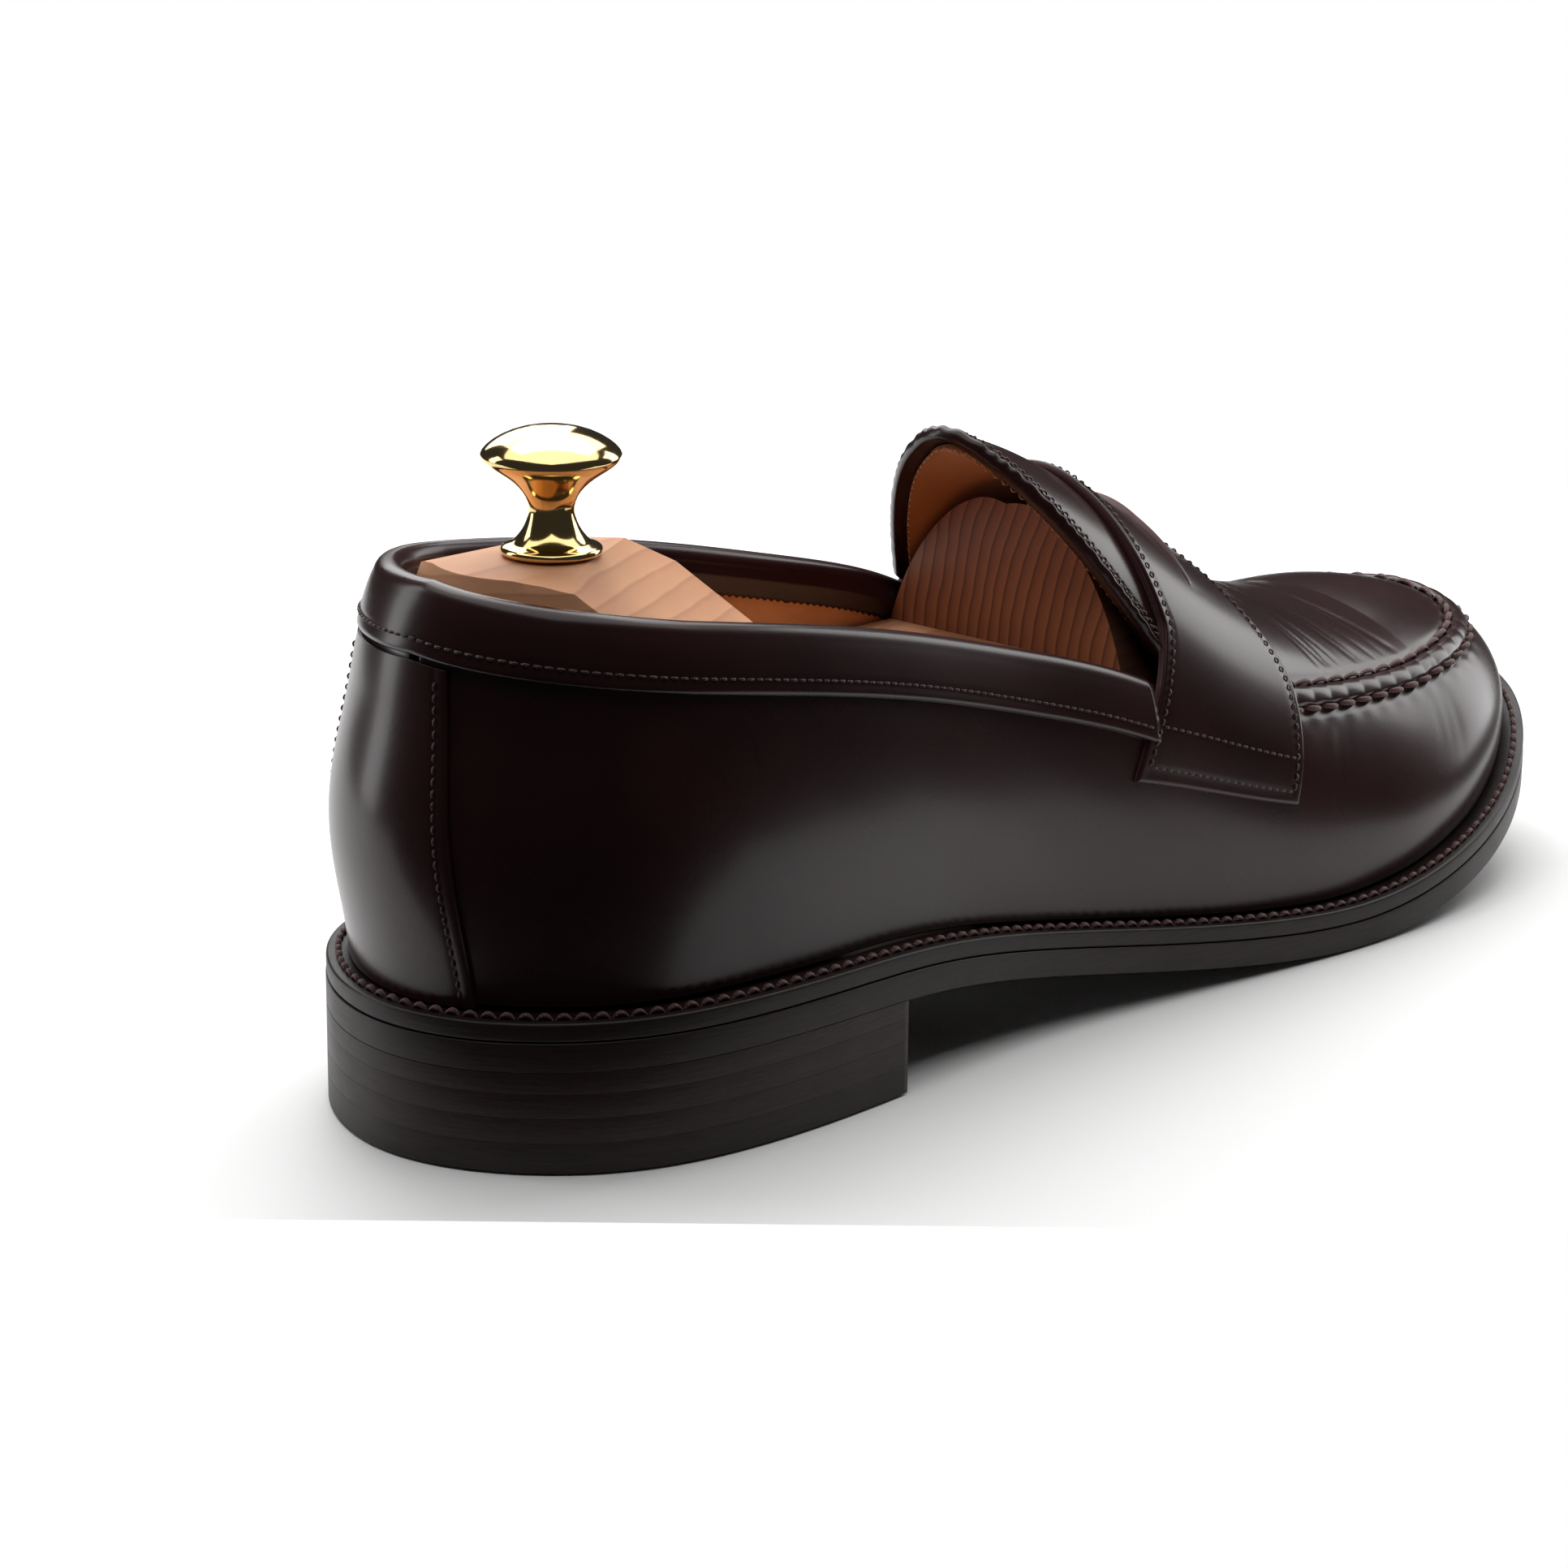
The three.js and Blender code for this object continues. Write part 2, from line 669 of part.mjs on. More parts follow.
// Saddle strap over the instep, with the slot that can hold a coin.
const STRAP_SPREAD = 71.3; // degrees across the ridge at its foot
const strapPlace = (a, b) => {
  const across = mix(-STRAP_SPREAD, STRAP_SPREAD, a);
  return acrossRidge(mix(strapRear(across), strapFront(across), b), across);
};
const SLOT_X = 19;
const SLOT_LENGTH = 30;
const SLOT_WIDTH = 2.6;
add(
  "saddle_strap",
  cut(
    leather(32, 5, strapPlace, trimOut, TRIM_THICKNESS),
    box(SLOT_X - SLOT_WIDTH / 2, SLOT_X + SLOT_WIDTH / 2, -SLOT_LENGTH / 2, SLOT_LENGTH / 2, 70, 130)
  ),
  "trim_leather"
);

// ---------------------------------------------------------------- shoe tree
// The shape of the inside of the shoe, a little smaller, closed along the ridge and the floor.
function insideOfShoe(clearance, crown) {
  const build = new Builder();
  const depth = (t) => -(liningDepth + clearance + crown * t ** 3);
  const steps = 14;
  const around = 32;
  const low = (x) => insoleTop(x) + 2.2;
  const loops = [];
  for (let i = 0; i < 2 * around; i++) {
    const loop = mix(-LAST, LAST, i / (2 * around));
    const side = loop < 0 ? -1 : 1;
    const u = Math.abs(loop);
    const column = [];
    for (let j = 0; j <= steps; j++) {
      column.push(layerPoint({ side, u, angle: mix(10, 90, j / steps) }, depth(j / steps)));
    }
    column[0].z = low(column[0].x);
    const floor = column[steps].clone();
    floor.z = low(floor.x);
    loops.push([floor, ...column]);
  }
  for (let i = 0; i < loops.length; i++) {
    const a = loops[i];
    const b = loops[(i + 1) % loops.length];
    for (let j = 0; j < a.length - 1; j++) build.quad(a[j], b[j], b[j + 1], a[j + 1]);
  }
  return build.geometry();
}
const faceCut = box(-200, 0, -80, 80, SHELF_TOP, 200);
const forepart = cut(
  keepInside(insideOfShoe(TREE_CLEARANCE, TREE_CROWN), box(SHELF_END, 118, -80, 80, 0, 200)),
  faceCut,
  bar(TUBE_RADIUS + GAP, SHELF_END - 1, 20 + GAP, TUBE_HEIGHT)
);
add("tree_forepart", forepart, "cedar");

const heelBlock = () => {
  const block = keepInside(insideOfShoe(HEEL_CLEARANCE, 0), box(-160, -72, -80, 80, 34, HEEL_BLOCK_TOP));
  const crown = bar(HEEL_BLOCK_ROUND, -170, -60, HEEL_BLOCK_TOP + 0.7 - HEEL_BLOCK_ROUND, 72);
  const wedge = box(0, 80, -80, 80, 0, 80);
  wedge.rotateY(51 * DEG).translate(-89.2, 0, HEEL_BLOCK_TOP);
  return cut(
    keepInside(block, crown),
    wedge,
    bar(TUBE_RADIUS + 0.6, -88, -60, TUBE_HEIGHT),
    bar(ROD_RADIUS + 0.05, -104, -60, TUBE_HEIGHT),
    turned([[0, 60], [2.6, 60], [2.6, 120], [0, 120]], KNOB_X, 20)
  );
};
add("tree_heel_block", heelBlock(), "cedar");

const tube = cut(bar(TUBE_RADIUS, -64, 20, TUBE_HEIGHT), bar(TUBE_RADIUS - 0.8, -70, 18, TUBE_HEIGHT));
add("tree_tube", tube, "brass");
add("tree_rod", bar(ROD_RADIUS, -103.5, -40, TUBE_HEIGHT), "steel");

const SPRING_TURNS = 8;
class Coil extends THREE.Curve {
  getPoint(t, target = new THREE.Vector3()) {
    const turn = t * SPRING_TURNS * 2 * Math.PI;
    return target.set(mix(-38.6, 16.6, t), 3.9 * Math.cos(turn), TUBE_HEIGHT + 3.9 * Math.sin(turn));
  }
}
const wire = new THREE.Shape();
wire.absarc(0, 0, 0.55, 0, 2 * Math.PI, false);
const springShape = new THREE.ExtrudeGeometry(wire, {
  steps: 80,
  curveSegments: 3,
  extrudePath: new Coil(),
  bevelEnabled: false,
});
add("tree_spring", springShape, "steel");

const knobProfile = [
  [0, 94.8],
  [8.5, 94.8],
  [8.5, 96.4],
  [6.4, 97.6],
  [4.4, 99.4],
  [3.7, 101.8],
  [4.2, 104.4],
  [6.6, 107.2],
  [10.4, 109.6],
  [KNOB_RADIUS, 111.3],
  [10.6, 113.4],
  [7.2, 115.2],
  [3.4, 116.1],
  [0, 116.3],
];
const screwHole = turned([[0, 90], [2.4, 90], [2.4, 105], [0, 105]], KNOB_X, 20);
add("tree_knob", cut(turned(knobProfile, KNOB_X), screwHole), "brass");
add("tree_knob_screw", turned([[0, 61], [2.1, 61], [2.1, 104], [0, 104]], KNOB_X, 20), "steel");

// Centre the part on its length and width and stand it on the ground.
const bounds = new THREE.Box3().setFromObject(part);
const middle = bounds.getCenter(new THREE.Vector3());
for (const mesh of part.children) mesh.geometry.translate(-middle.x, -middle.y, -bounds.min.z);

export default part;
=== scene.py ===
import json
import math
import random

import bmesh
import bpy
import numpy as np
from mathutils import Matrix, Vector


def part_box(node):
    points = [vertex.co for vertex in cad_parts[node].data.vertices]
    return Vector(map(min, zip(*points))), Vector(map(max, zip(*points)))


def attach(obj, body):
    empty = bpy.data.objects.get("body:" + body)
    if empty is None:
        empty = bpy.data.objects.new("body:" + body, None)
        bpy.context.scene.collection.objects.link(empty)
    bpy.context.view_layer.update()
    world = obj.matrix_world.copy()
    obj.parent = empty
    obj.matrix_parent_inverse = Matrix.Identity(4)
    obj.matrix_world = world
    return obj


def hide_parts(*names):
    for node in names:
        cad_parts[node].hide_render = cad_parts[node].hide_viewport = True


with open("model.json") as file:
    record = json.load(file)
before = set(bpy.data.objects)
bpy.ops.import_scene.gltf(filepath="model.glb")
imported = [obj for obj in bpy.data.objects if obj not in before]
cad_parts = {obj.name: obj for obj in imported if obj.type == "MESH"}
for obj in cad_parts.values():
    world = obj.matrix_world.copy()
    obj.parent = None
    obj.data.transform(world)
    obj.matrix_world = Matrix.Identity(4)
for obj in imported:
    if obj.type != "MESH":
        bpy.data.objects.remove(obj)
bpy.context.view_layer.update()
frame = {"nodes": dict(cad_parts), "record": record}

MM = 0.001
rng = random.Random(7)

# ------------------------------------------------------------------ shape of the shoe, in millimetres
# Same stations as the solids: half outline of the foot of the upper, the sole's underside and
# the ridge over the instep, from the back of the heel to the tip of the toe.
X = [-146, -138, -119, -90, -60, -30, 0, 30, 58, 85, 110, 130, 142, 146]
OUTER = [0, -20.5, -33.5, -37.5, -36.5, -35.5, -38, -42, -45, -44.5, -38, -25.5, -10, 4]
INNER = [0, 22, 35.5, 37.5, 35, 33, 34, 39.5, 46, 47.5, 43, 33, 18, 4]
UNDER = [17, 17.2, 17.3, 17.2, 15.8, 11, 5.5, 1.2, 0, 3.8, 10.5, 18, 22.5, 23.5]
RIDGE = [124, 124, 123, 119, 113, 106, 96.5, 78.5, 64, 57, 54, 53, 53, 53]
LAST = len(X) - 1
EDGE = 8.4  # the sole and the welt together
SOLE = 5.0
HEEL_PIVOT, TOE_PIVOT = -112.0, 94.0
SWELL = 3.5
HEEL_SWELL = 2.4
WELT_REACH = 5.3
HEEL_BREAST = -70.0
TINY_STEP = 0.02  # in stations, for slopes


def unit(vectors):
    return vectors / np.linalg.norm(vectors, axis=-1, keepdims=True)


def mix(a, b, t):
    return a + (b - a) * t


def ease(t):
    t = np.clip(t, 0, 1)
    return t * t * (3 - 2 * t)


def run_along(path):
    """Running length along a line of points."""
    return np.concatenate([[0], np.cumsum(np.linalg.norm(np.diff(path, axis=0), axis=1))])


def curve_pair(a, b):
    """Control values of two smooth curves that run into each other at the heel and the toe."""
    want = [np.array(a, float), np.array(b, float)]
    have = [w.copy() for w in want]

    def padded():
        p, q = have
        first = np.concatenate([[q[1]], p, [q[-2]]])
        second = np.concatenate([[p[1]], q, [p[-2]]])
        return first, second

    for _ in range(60):
        have = [h + w - (c[:-2] + 4 * c[1:-1] + c[2:]) / 6 for h, w, c in zip(have, want, padded())]
    return padded()


def on_curve(control, u):
    u = np.clip(u, 0, LAST)
    i = np.minimum(u.astype(int), LAST - 1)
    t = u - i
    s = 1 - t
    near = (3 * t**3 - 6 * t * t + 4) * control[i + 1]
    far = (3 * s**3 - 6 * s * s + 4) * control[i + 2]
    return (s**3 * control[i] + near + far + t**3 * control[i + 3]) / 6


C_X = curve_pair(X, X)[0]
C_OUTER, C_INNER = curve_pair(OUTER, INNER)
C_UNDER = curve_pair(UNDER, UNDER)[0]
C_RIDGE = curve_pair(RIDGE, RIDGE)[0]
FINE_U = np.linspace(0, LAST, 2601)
FINE_X = on_curve(C_X, FINE_U)


def station(x):
    return np.interp(x, FINE_X, FINE_U)


TOE_STATION = float(station(TOE_PIVOT))


def middle_y(u):
    return (on_curve(C_OUTER, u) + on_curve(C_INNER, u)) / 2


def fold(loop):
    """Side (-1 outer, 1 inner) and station of a loop position; past the heel or toe it turns over."""
    loop = np.asarray(loop, float)
    over = np.abs(loop) > LAST
    loop = np.where(over, -np.sign(loop) * (2 * LAST - np.abs(loop)), loop)
    return np.where(loop < 0, -1.0, 1.0), np.abs(loop)


def foot_xy(loop):
    side, u = fold(loop)
    y = np.where(side < 0, on_curve(C_OUTER, u), on_curve(C_INNER, u))
    return on_curve(C_X, u), y


def skin(loop, angle):
    """Point on the upper. loop is minus the station on the outer side and plus on the inner side.
    angle is 0 degrees at the foot of the upper and 90 on the ridge."""
    loop, angle = np.broadcast_arrays(np.asarray(loop, float), np.asarray(angle, float))
    _, u = fold(loop)
    x, y = foot_xy(loop)
    c, s = np.cos(np.radians(angle)), np.sin(np.radians(angle))
    px = np.clip(x, HEEL_PIVOT, TOE_PIVOT)
    py = middle_y(station(px))
    foot = on_curve(C_UNDER, u) + EDGE
    top = on_curve(C_RIDGE, np.minimum(u, TOE_STATION))
    dx, dy = px - x, py - y
    reach = np.hypot(dx, dy) + 1e-9
    low = np.sin(np.clip(angle / 30, 0, 1) * np.pi) ** 2
    at_heel = np.maximum(1 - (u / 4) ** 2, 0) ** 2
    swell = SWELL * np.sin(np.clip(angle / 75, 0, 1) * np.pi) + HEEL_SWELL * low * at_heel
    step = 1 - c - swell / reach
    return np.stack([x + dx * step, y + dy * step, foot + (top - foot) * s], -1)


def skin_normal(loop, angle):
    loop, angle = np.broadcast_arrays(np.asarray(loop, float), np.asarray(angle, float))
    a = np.clip(angle, 0.5, 88.5)
    h = TINY_STEP
    _, u = fold(loop)
    along = skin(loop + h, a) - skin(loop - h, a)
    up = skin(loop, a + 0.5) - skin(loop, a - 0.5)
    n = np.cross(up, along)
    n /= np.linalg.norm(n, axis=-1, keepdims=True) + 1e-12
    ur = np.clip(u, h, TOE_STATION)
    rise = on_curve(C_RIDGE, ur) - on_curve(C_RIDGE, ur - h)
    run = on_curve(C_X, ur) - on_curve(C_X, ur - h)
    ridge = unit(np.stack([-rise, 0 * run, run], -1))
    near = ease((angle - 84) / 6)[..., None]
    return unit(n * (1 - near) + ridge * near)


def angle_at(u, height):
    foot = on_curve(C_UNDER, u) + EDGE
    top = on_curve(C_RIDGE, np.minimum(u, TOE_STATION))
    return np.degrees(np.arcsin(np.clip((height - foot) / (top - foot), 0.01, 1)))


# Height of the sole's underside along the foot. It runs on straight past the last stations.
TIP = 140.0
TIP_HEIGHT = float(on_curve(C_UNDER, station(np.array([TIP])))[0])
TIP_RISE = (UNDER[-1] - TIP_HEIGHT) / (X[-1] - TIP)


def under(x):
    x = np.asarray(x, float)
    inside = on_curve(C_UNDER, station(np.minimum(x, TIP)))
    return np.where(x < TIP, inside, TIP_HEIGHT + TIP_RISE * (x - TIP))


def sole_outline(offset, count=400, stop=float(LAST)):
    """Outline outside the foot of the upper, from the inner side's stop round the heel to the outer's."""
    loop = np.concatenate([np.linspace(stop, 0.0, count + 1), -np.linspace(0.0, stop, count + 1)[1:]])
    h = TINY_STEP
    ax, ay = foot_xy(loop - h)
    bx, by = foot_xy(loop + h)
    x, y = foot_xy(loop)
    t = unit(np.stack([bx - ax, by - ay], -1))
    return np.stack([x - t[:, 1] * offset, y + t[:, 0] * offset], -1)


# Put the drawing's origin where the frame has it, from the outsole's own box.
edge_line = sole_outline(WELT_REACH)
low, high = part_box("outsole")
SHIFT = np.array(
    [
        (low[0] + high[0]) / 2 / MM - (edge_line[:, 0].min() + edge_line[:, 0].max()) / 2,
        (low[1] + high[1]) / 2 / MM - (edge_line[:, 1].min() + edge_line[:, 1].max()) / 2,
        low[2] / MM - under(FINE_X).min(),
    ]
)


def metres(points):
    return (np.asarray(points, float) + SHIFT) * MM


# ------------------------------------------------------------------ mesh helpers
def add_to_scene(name, data):
    obj = bpy.data.objects.new(name, data)
    bpy.context.scene.collection.objects.link(obj)
    return obj


def new_object(name, verts, faces, material, body, edge=None):
    """A smooth mesh object. edge, if given, is a second material and the first face that takes it."""
    mesh = bpy.data.meshes.new(name)
    mesh.from_pydata([tuple(v) for v in verts], [], [tuple(f) for f in faces])
    if edge is not None:
        for face in range(edge[1], len(faces)):
            mesh.polygons[face].material_index = 1
    mesh.validate()
    obj = add_to_scene(name, mesh)
    bm = bmesh.new()
    bm.from_mesh(mesh)
    bmesh.ops.remove_doubles(bm, verts=bm.verts, dist=2e-6)
    bmesh.ops.dissolve_degenerate(bm, edges=bm.edges, dist=1e-7)
    bmesh.ops.recalc_face_normals(bm, faces=bm.faces)
    bm.to_mesh(mesh)
    bm.free()
    mesh.materials.append(material)
    if edge is not None:
        mesh.materials.append(edge[0])
    mesh.polygons.foreach_set("use_smooth", [True] * len(mesh.polygons))
    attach(obj, body)
    return obj


def grid_faces(rows, columns, start=0, turn=False):
    faces = []
    for i in range(rows - 1):
        for j in range(columns - 1):
            a = start + i * columns + j
            quad = (a, a + columns, a + columns + 1, a + 1)
            faces.append(quad[::-1] if turn else quad)
    return faces


def tube_faces(rows, sides, start=0, closed=False):
    """Faces round rows of points. closed joins the last row to the first."""
    faces = []
    for i in range(rows if closed else rows - 1):
        here = start + i * sides
        there = start + (i + 1) % rows * sides
        for j in range(sides):
            k = (j + 1) % sides
            faces.append((here + j, here + k, there + k, there + j))
    return faces


ROUNDED_ZONE = 0.7


def samples(length, step):
    """Positions from 0 to 1 about step apart, closer together near the ends, which are rounded."""
    inner = np.linspace(0, 1, max(3, int(length / step) + 1))
    fine = ROUNDED_ZONE / length * np.array([0.0, 0.12, 0.35, 0.65, 1.0])
    gap = fine[-1] * 1.2
    kept = inner[(inner > gap) & (inner < 1 - gap)]
    return np.concatenate([fine, kept, 1 - fine[::-1]])


def line_lengths(points, axis):
    """Running length along a grid's lines, in that axis."""
    gaps = np.linalg.norm(np.diff(points, axis=axis), axis=-1)
    zero = np.zeros_like(np.take(gaps, [0], axis=axis))
    return np.cumsum(np.concatenate([zero, gaps], axis=axis), axis=axis)


def leather(
    name, place, a, b, outside, thickness, material,
    relief=None, rounded="abcd", radius=0.7, slit=None, raw=None,
):
    """A piece of leather with rounded edges. place turns a and b, from 0 to 1, into loop and angle.
    rounded names the edges that are seen: a and b for the two ends of a, c and d for those of b.
    slit, if given, is a column of b and the first and last row of a between which it is cut.
    raw, if given, is the material of the cut edges."""
    ga, gb = np.meshgrid(a, b, indexing="ij")
    loop, angle = place(ga, gb)
    base = skin(loop, angle)
    normal = skin_normal(loop, angle)
    along = line_lengths(base, 0)
    across = line_lengths(base, 1)
    from_edge = {"a": along, "b": along[-1:] - along, "c": across, "d": across[:, -1:] - across}
    away = np.min([from_edge[letter] for letter in rounded], axis=0)
    r = min(radius, thickness)
    drop = r - np.sqrt(np.maximum(r * r - (r - np.minimum(away, r)) ** 2, 0))
    height = outside - drop
    if relief is not None:
        height = height + relief(base, loop, angle, along, across, away)
    outer = base + normal * height[..., None]
    inner = base + normal * (outside - thickness)
    rows, columns = ga.shape
    n = rows * columns
    verts = np.concatenate([outer.reshape(-1, 3), inner.reshape(-1, 3)])
    faces = grid_faces(rows, columns) + grid_faces(rows, columns, n, True)
    if slit is not None:
        column, first, last = slit
        hole = {i * columns + column for i in range(first, last)}
        faces = [f for f in faces if min(f) % n not in hole]
    edge = None if raw is None else (raw, len(faces))
    if slit is not None:
        for i in range(first, last):
            p = i * columns + column
            faces.append((p, p + columns, p + columns + n, p + n))
            faces.append((p + 1, p + 1 + n, p + columns + 1 + n, p + columns + 1))
        for i in (first, last):
            p = i * columns + column
            faces.append((p, p + 1, p + 1 + n, p + n))
    ring = [i * columns for i in range(rows)]
    ring += [(rows - 1) * columns + j for j in range(1, columns)]
    ring += [i * columns + columns - 1 for i in range(rows - 2, -1, -1)]
    ring += [j for j in range(columns - 2, 0, -1)]
    for i, p in enumerate(ring):
        q = ring[(i + 1) % len(ring)]
        faces.append((p, q, q + n, p + n))
    return new_object(name, metres(verts), faces, material, "shoe", edge)


def stitches(name, path, normals, pitch, length, radius, material, sink=0.35, slant=0.0):
    """A row of stitches along a path in millimetres: short arched strands, one every pitch."""
    run = run_along(path)
    count = int(run[-1] / pitch)
    spacing = run[-1] / max(count, 1)
    verts, faces = [], []
    steps, sides = 7, 6
    for k in range(count):
        s0 = (k + 0.5) * spacing - length / 2
        s = s0 + length * np.linspace(0, 1, steps)
        p = np.stack([np.interp(s, run, path[:, i]) for i in range(3)], -1)
        n = unit(np.stack([np.interp(s, run, normals[:, i]) for i in range(3)], -1))
        t = unit(np.gradient(p, axis=0))
        b = np.cross(t, n)
        shape = np.sin(np.linspace(0, np.pi, steps))
        turn = slant * np.linspace(-0.5, 0.5, steps) + rng.uniform(-0.06, 0.06) * radius
        p = p + n * (radius * (1.25 * shape**0.7 - sink * 2.2 * (1 - shape)))[:, None] + b * turn[:, None]
        size = radius * (0.55 + 0.45 * shape**0.5) * rng.uniform(0.92, 1.08)
        start = len(verts)
        for i in range(steps):
            for j in range(sides):
                w = 2 * math.pi * j / sides
                verts.append(p[i] + b[i] * math.cos(w) * size[i] + n[i] * math.sin(w) * size[i] * 0.8)
        faces += tube_faces(steps, sides, start)
        faces.append(tuple(start + j for j in range(sides))[::-1])
        faces.append(tuple(start + (steps - 1) * sides + j for j in range(sides)))
    return new_object(name, metres(verts), faces, material, "shoe")


def skin_path(loop, angle, height):
    base = skin(loop, angle)
    normal = skin_normal(loop, angle)
    return base + normal * height, normal


def groove(distance, width, depth):
    return -depth * np.exp(-((distance / width) ** 2))


# ------------------------------------------------------------------ materials
def nodes_of(name):
    material = bpy.data.materials.new(name)
    material.use_nodes = True
    tree = material.node_tree
    shader = tree.nodes["Principled BSDF"]
    return material, tree, shader


def add_node(tree, kind, **values):
    node = tree.nodes.new(kind)
    for key, value in values.items():
        if key in node.inputs:
            node.inputs[key].default_value = value
        else:
            setattr(node, key, value)
    return node


def set_inputs(node, values):
    for key, value in values.items():
        node.inputs[key].default_value = value


def object_coordinates(tree, **placing):
    """Object coordinates, if needed with their own Location, Rotation and Scale."""
    where = tree.nodes.new("ShaderNodeTexCoord")
    mapping = add_node(tree, "ShaderNodeMapping", **placing)
    tree.links.new(where.outputs["Object"], mapping.inputs["Vector"])
    return mapping.outputs["Vector"]


def noise(tree, vector, scale, detail=4.0, roughness=0.5):
    node = add_node(tree, "ShaderNodeTexNoise", Scale=scale, Detail=detail, Roughness=roughness)
    tree.links.new(vector, node.inputs["Vector"])
    return node.outputs["Fac"]


def ramp(tree, factor, stops):
    node = tree.nodes.new("ShaderNodeValToRGB")
    while len(node.color_ramp.elements) < len(stops):
        node.color_ramp.elements.new(0.5)
    for element, (at, color) in zip(node.color_ramp.elements, stops):
        element.position = at
        element.color = (*color, 1.0)
    tree.links.new(factor, node.inputs["Fac"])
    return node.outputs["Color"]


def spread(tree, factor, low, high):
    node = add_node(tree, "ShaderNodeMapRange")
    set_inputs(node, {"To Min": low, "To Max": high})
    tree.links.new(factor, node.inputs["Value"])
    return node.outputs["Result"]


def paint(tree, shader, factor, stops):
    tree.links.new(ramp(tree, factor, stops), shader.inputs["Base Color"])


def bump(tree, shader, layers):
    """Stacked bumps: each layer is (height, strength, distance in metres)."""
    last = None
    for height, strength, distance in layers:
        node = add_node(tree, "ShaderNodeBump", Strength=strength, Distance=distance)
        tree.links.new(height, node.inputs["Height"])
        if last is not None:
            tree.links.new(last, node.inputs["Normal"])
        last = node.outputs["Normal"]
    tree.links.new(last, shader.inputs["Normal"])


def polished_leather(name, dark, light, rough, coat):
    material, tree, shader = nodes_of(name)
    vector = object_coordinates(tree)
    cloud = noise(tree, vector, 38.0, 3.0)
    pores = tree.nodes.new("ShaderNodeTexVoronoi")
    pores.inputs["Scale"].default_value = 1900.0
    tree.links.new(vector, pores.inputs["Vector"])
    fine = noise(tree, vector, 900.0, 3.0, 0.6)
    paint(tree, shader, cloud, [(0.3, dark), (0.75, light)])
    gloss = spread(tree, noise(tree, vector, 50.0, 2.0), rough - 0.02, rough + 0.03)
    tree.links.new(gloss, shader.inputs["Roughness"])
    set_inputs(shader, {"Coat Weight": coat, "Coat Roughness": 0.16, "Specular IOR Level": 0.34})
    pore_depth = pores.outputs["Distance"]
    bump(tree, shader, [(pore_depth, 0.04, 0.00012), (fine, 0.04, 0.00012), (cloud, 0.02, 0.0006)])
    return material


def raw_leather(name, dark, light, grain=700.0, rough=0.7):
    material, tree, shader = nodes_of(name)
    vector = object_coordinates(tree)
    cloud = noise(tree, vector, 60.0, 4.0, 0.6)
    fine = noise(tree, vector, grain, 5.0, 0.65)
    paint(tree, shader, cloud, [(0.25, dark), (0.8, light)])
    set_inputs(shader, {"Roughness": rough, "Sheen Weight": 0.15})
    bump(tree, shader, [(fine, 0.35, 0.0002)])
    return material


def sole_edge(name, dark, light):
    material, tree, shader = nodes_of(name)
    vector = object_coordinates(tree, Scale=(1, 1, 14))
    lines = noise(tree, vector, 120.0, 5.0, 0.65)
    cloud = noise(tree, object_coordinates(tree), 70.0, 4.0, 0.6)
    paint(tree, shader, lines, [(0.3, dark), (0.75, light)])
    tree.links.new(spread(tree, cloud, 0.32, 0.55), shader.inputs["Roughness"])
    set_inputs(shader, {"Specular IOR Level": 0.3})
    fine = noise(tree, object_coordinates(tree), 1500.0, 3.0)
    bump(tree, shader, [(lines, 0.4, 0.00015), (fine, 0.2, 0.0001)])
    return material


def thread(name, dark, light):
    material, tree, shader = nodes_of(name)
    vector = object_coordinates(tree)
    twist = add_node(tree, "ShaderNodeTexWave", Scale=900.0, Distortion=3.0, Detail=2.0)
    tree.links.new(vector, twist.inputs["Vector"])
    paint(tree, shader, twist.outputs["Fac"], [(0.1, dark), (0.9, light)])
    set_inputs(shader, {"Roughness": 0.55, "Sheen Weight": 0.2})
    bump(tree, shader, [(twist.outputs["Fac"], 0.5, 0.0002)])
    return material


def cedar(name, side, dark, light):
    """Cedar. side is True where the end grain shows, with growth rings across the face."""
    material, tree, shader = nodes_of(name)
    rings = add_node(tree, "ShaderNodeTexWave", Scale=115.0, Distortion=5.0, Detail=3.0)
    rings.inputs["Detail Scale"].default_value = 0.35
    rings.wave_type = "RINGS"
    rings.rings_direction = "X"
    rings.wave_profile = "SAW"
    pith = (0.0, 0.105, -0.05) if side else (0.0, 0.03, 0.11)
    turned_by = (0.0, 0.12, 0.06)
    vector = object_coordinates(tree, Location=pith, Rotation=turned_by, Scale=(0.12, 1.0, 1.0))
    tree.links.new(vector, rings.inputs["Vector"])
    fibre_scale = (1, 1, 1) if side else (0.25, 1, 1)
    fibre = noise(tree, object_coordinates(tree, Scale=fibre_scale), 900.0, 4.0, 0.65)
    cloud = noise(tree, object_coordinates(tree), 32.0, 3.0, 0.55)
    mid = tuple((d + l) / 2 for d, l in zip(dark, light))
    grain = ramp(tree, rings.outputs["Fac"], [(0.0, light), (0.7, mid), (0.9, dark), (1.0, light)])
    shade = tree.nodes.new("ShaderNodeMix")
    shade.data_type = "RGBA"
    shade.blend_type = "MULTIPLY"
    shade.inputs["Factor"].default_value = 0.55
    tree.links.new(grain, shade.inputs["A"])
    patches = ramp(tree, cloud, [(0.25, (0.62, 0.5, 0.42)), (0.75, (1.0, 1.0, 1.0))])
    tree.links.new(patches, shade.inputs["B"])
    tree.links.new(shade.outputs["Result"], shader.inputs["Base Color"])
    tree.links.new(spread(tree, fibre, 0.5, 0.72), shader.inputs["Roughness"])
    bump(tree, shader, [(fibre, 0.25, 0.0002), (rings.outputs["Fac"], 0.1, 0.0002)])
    return material


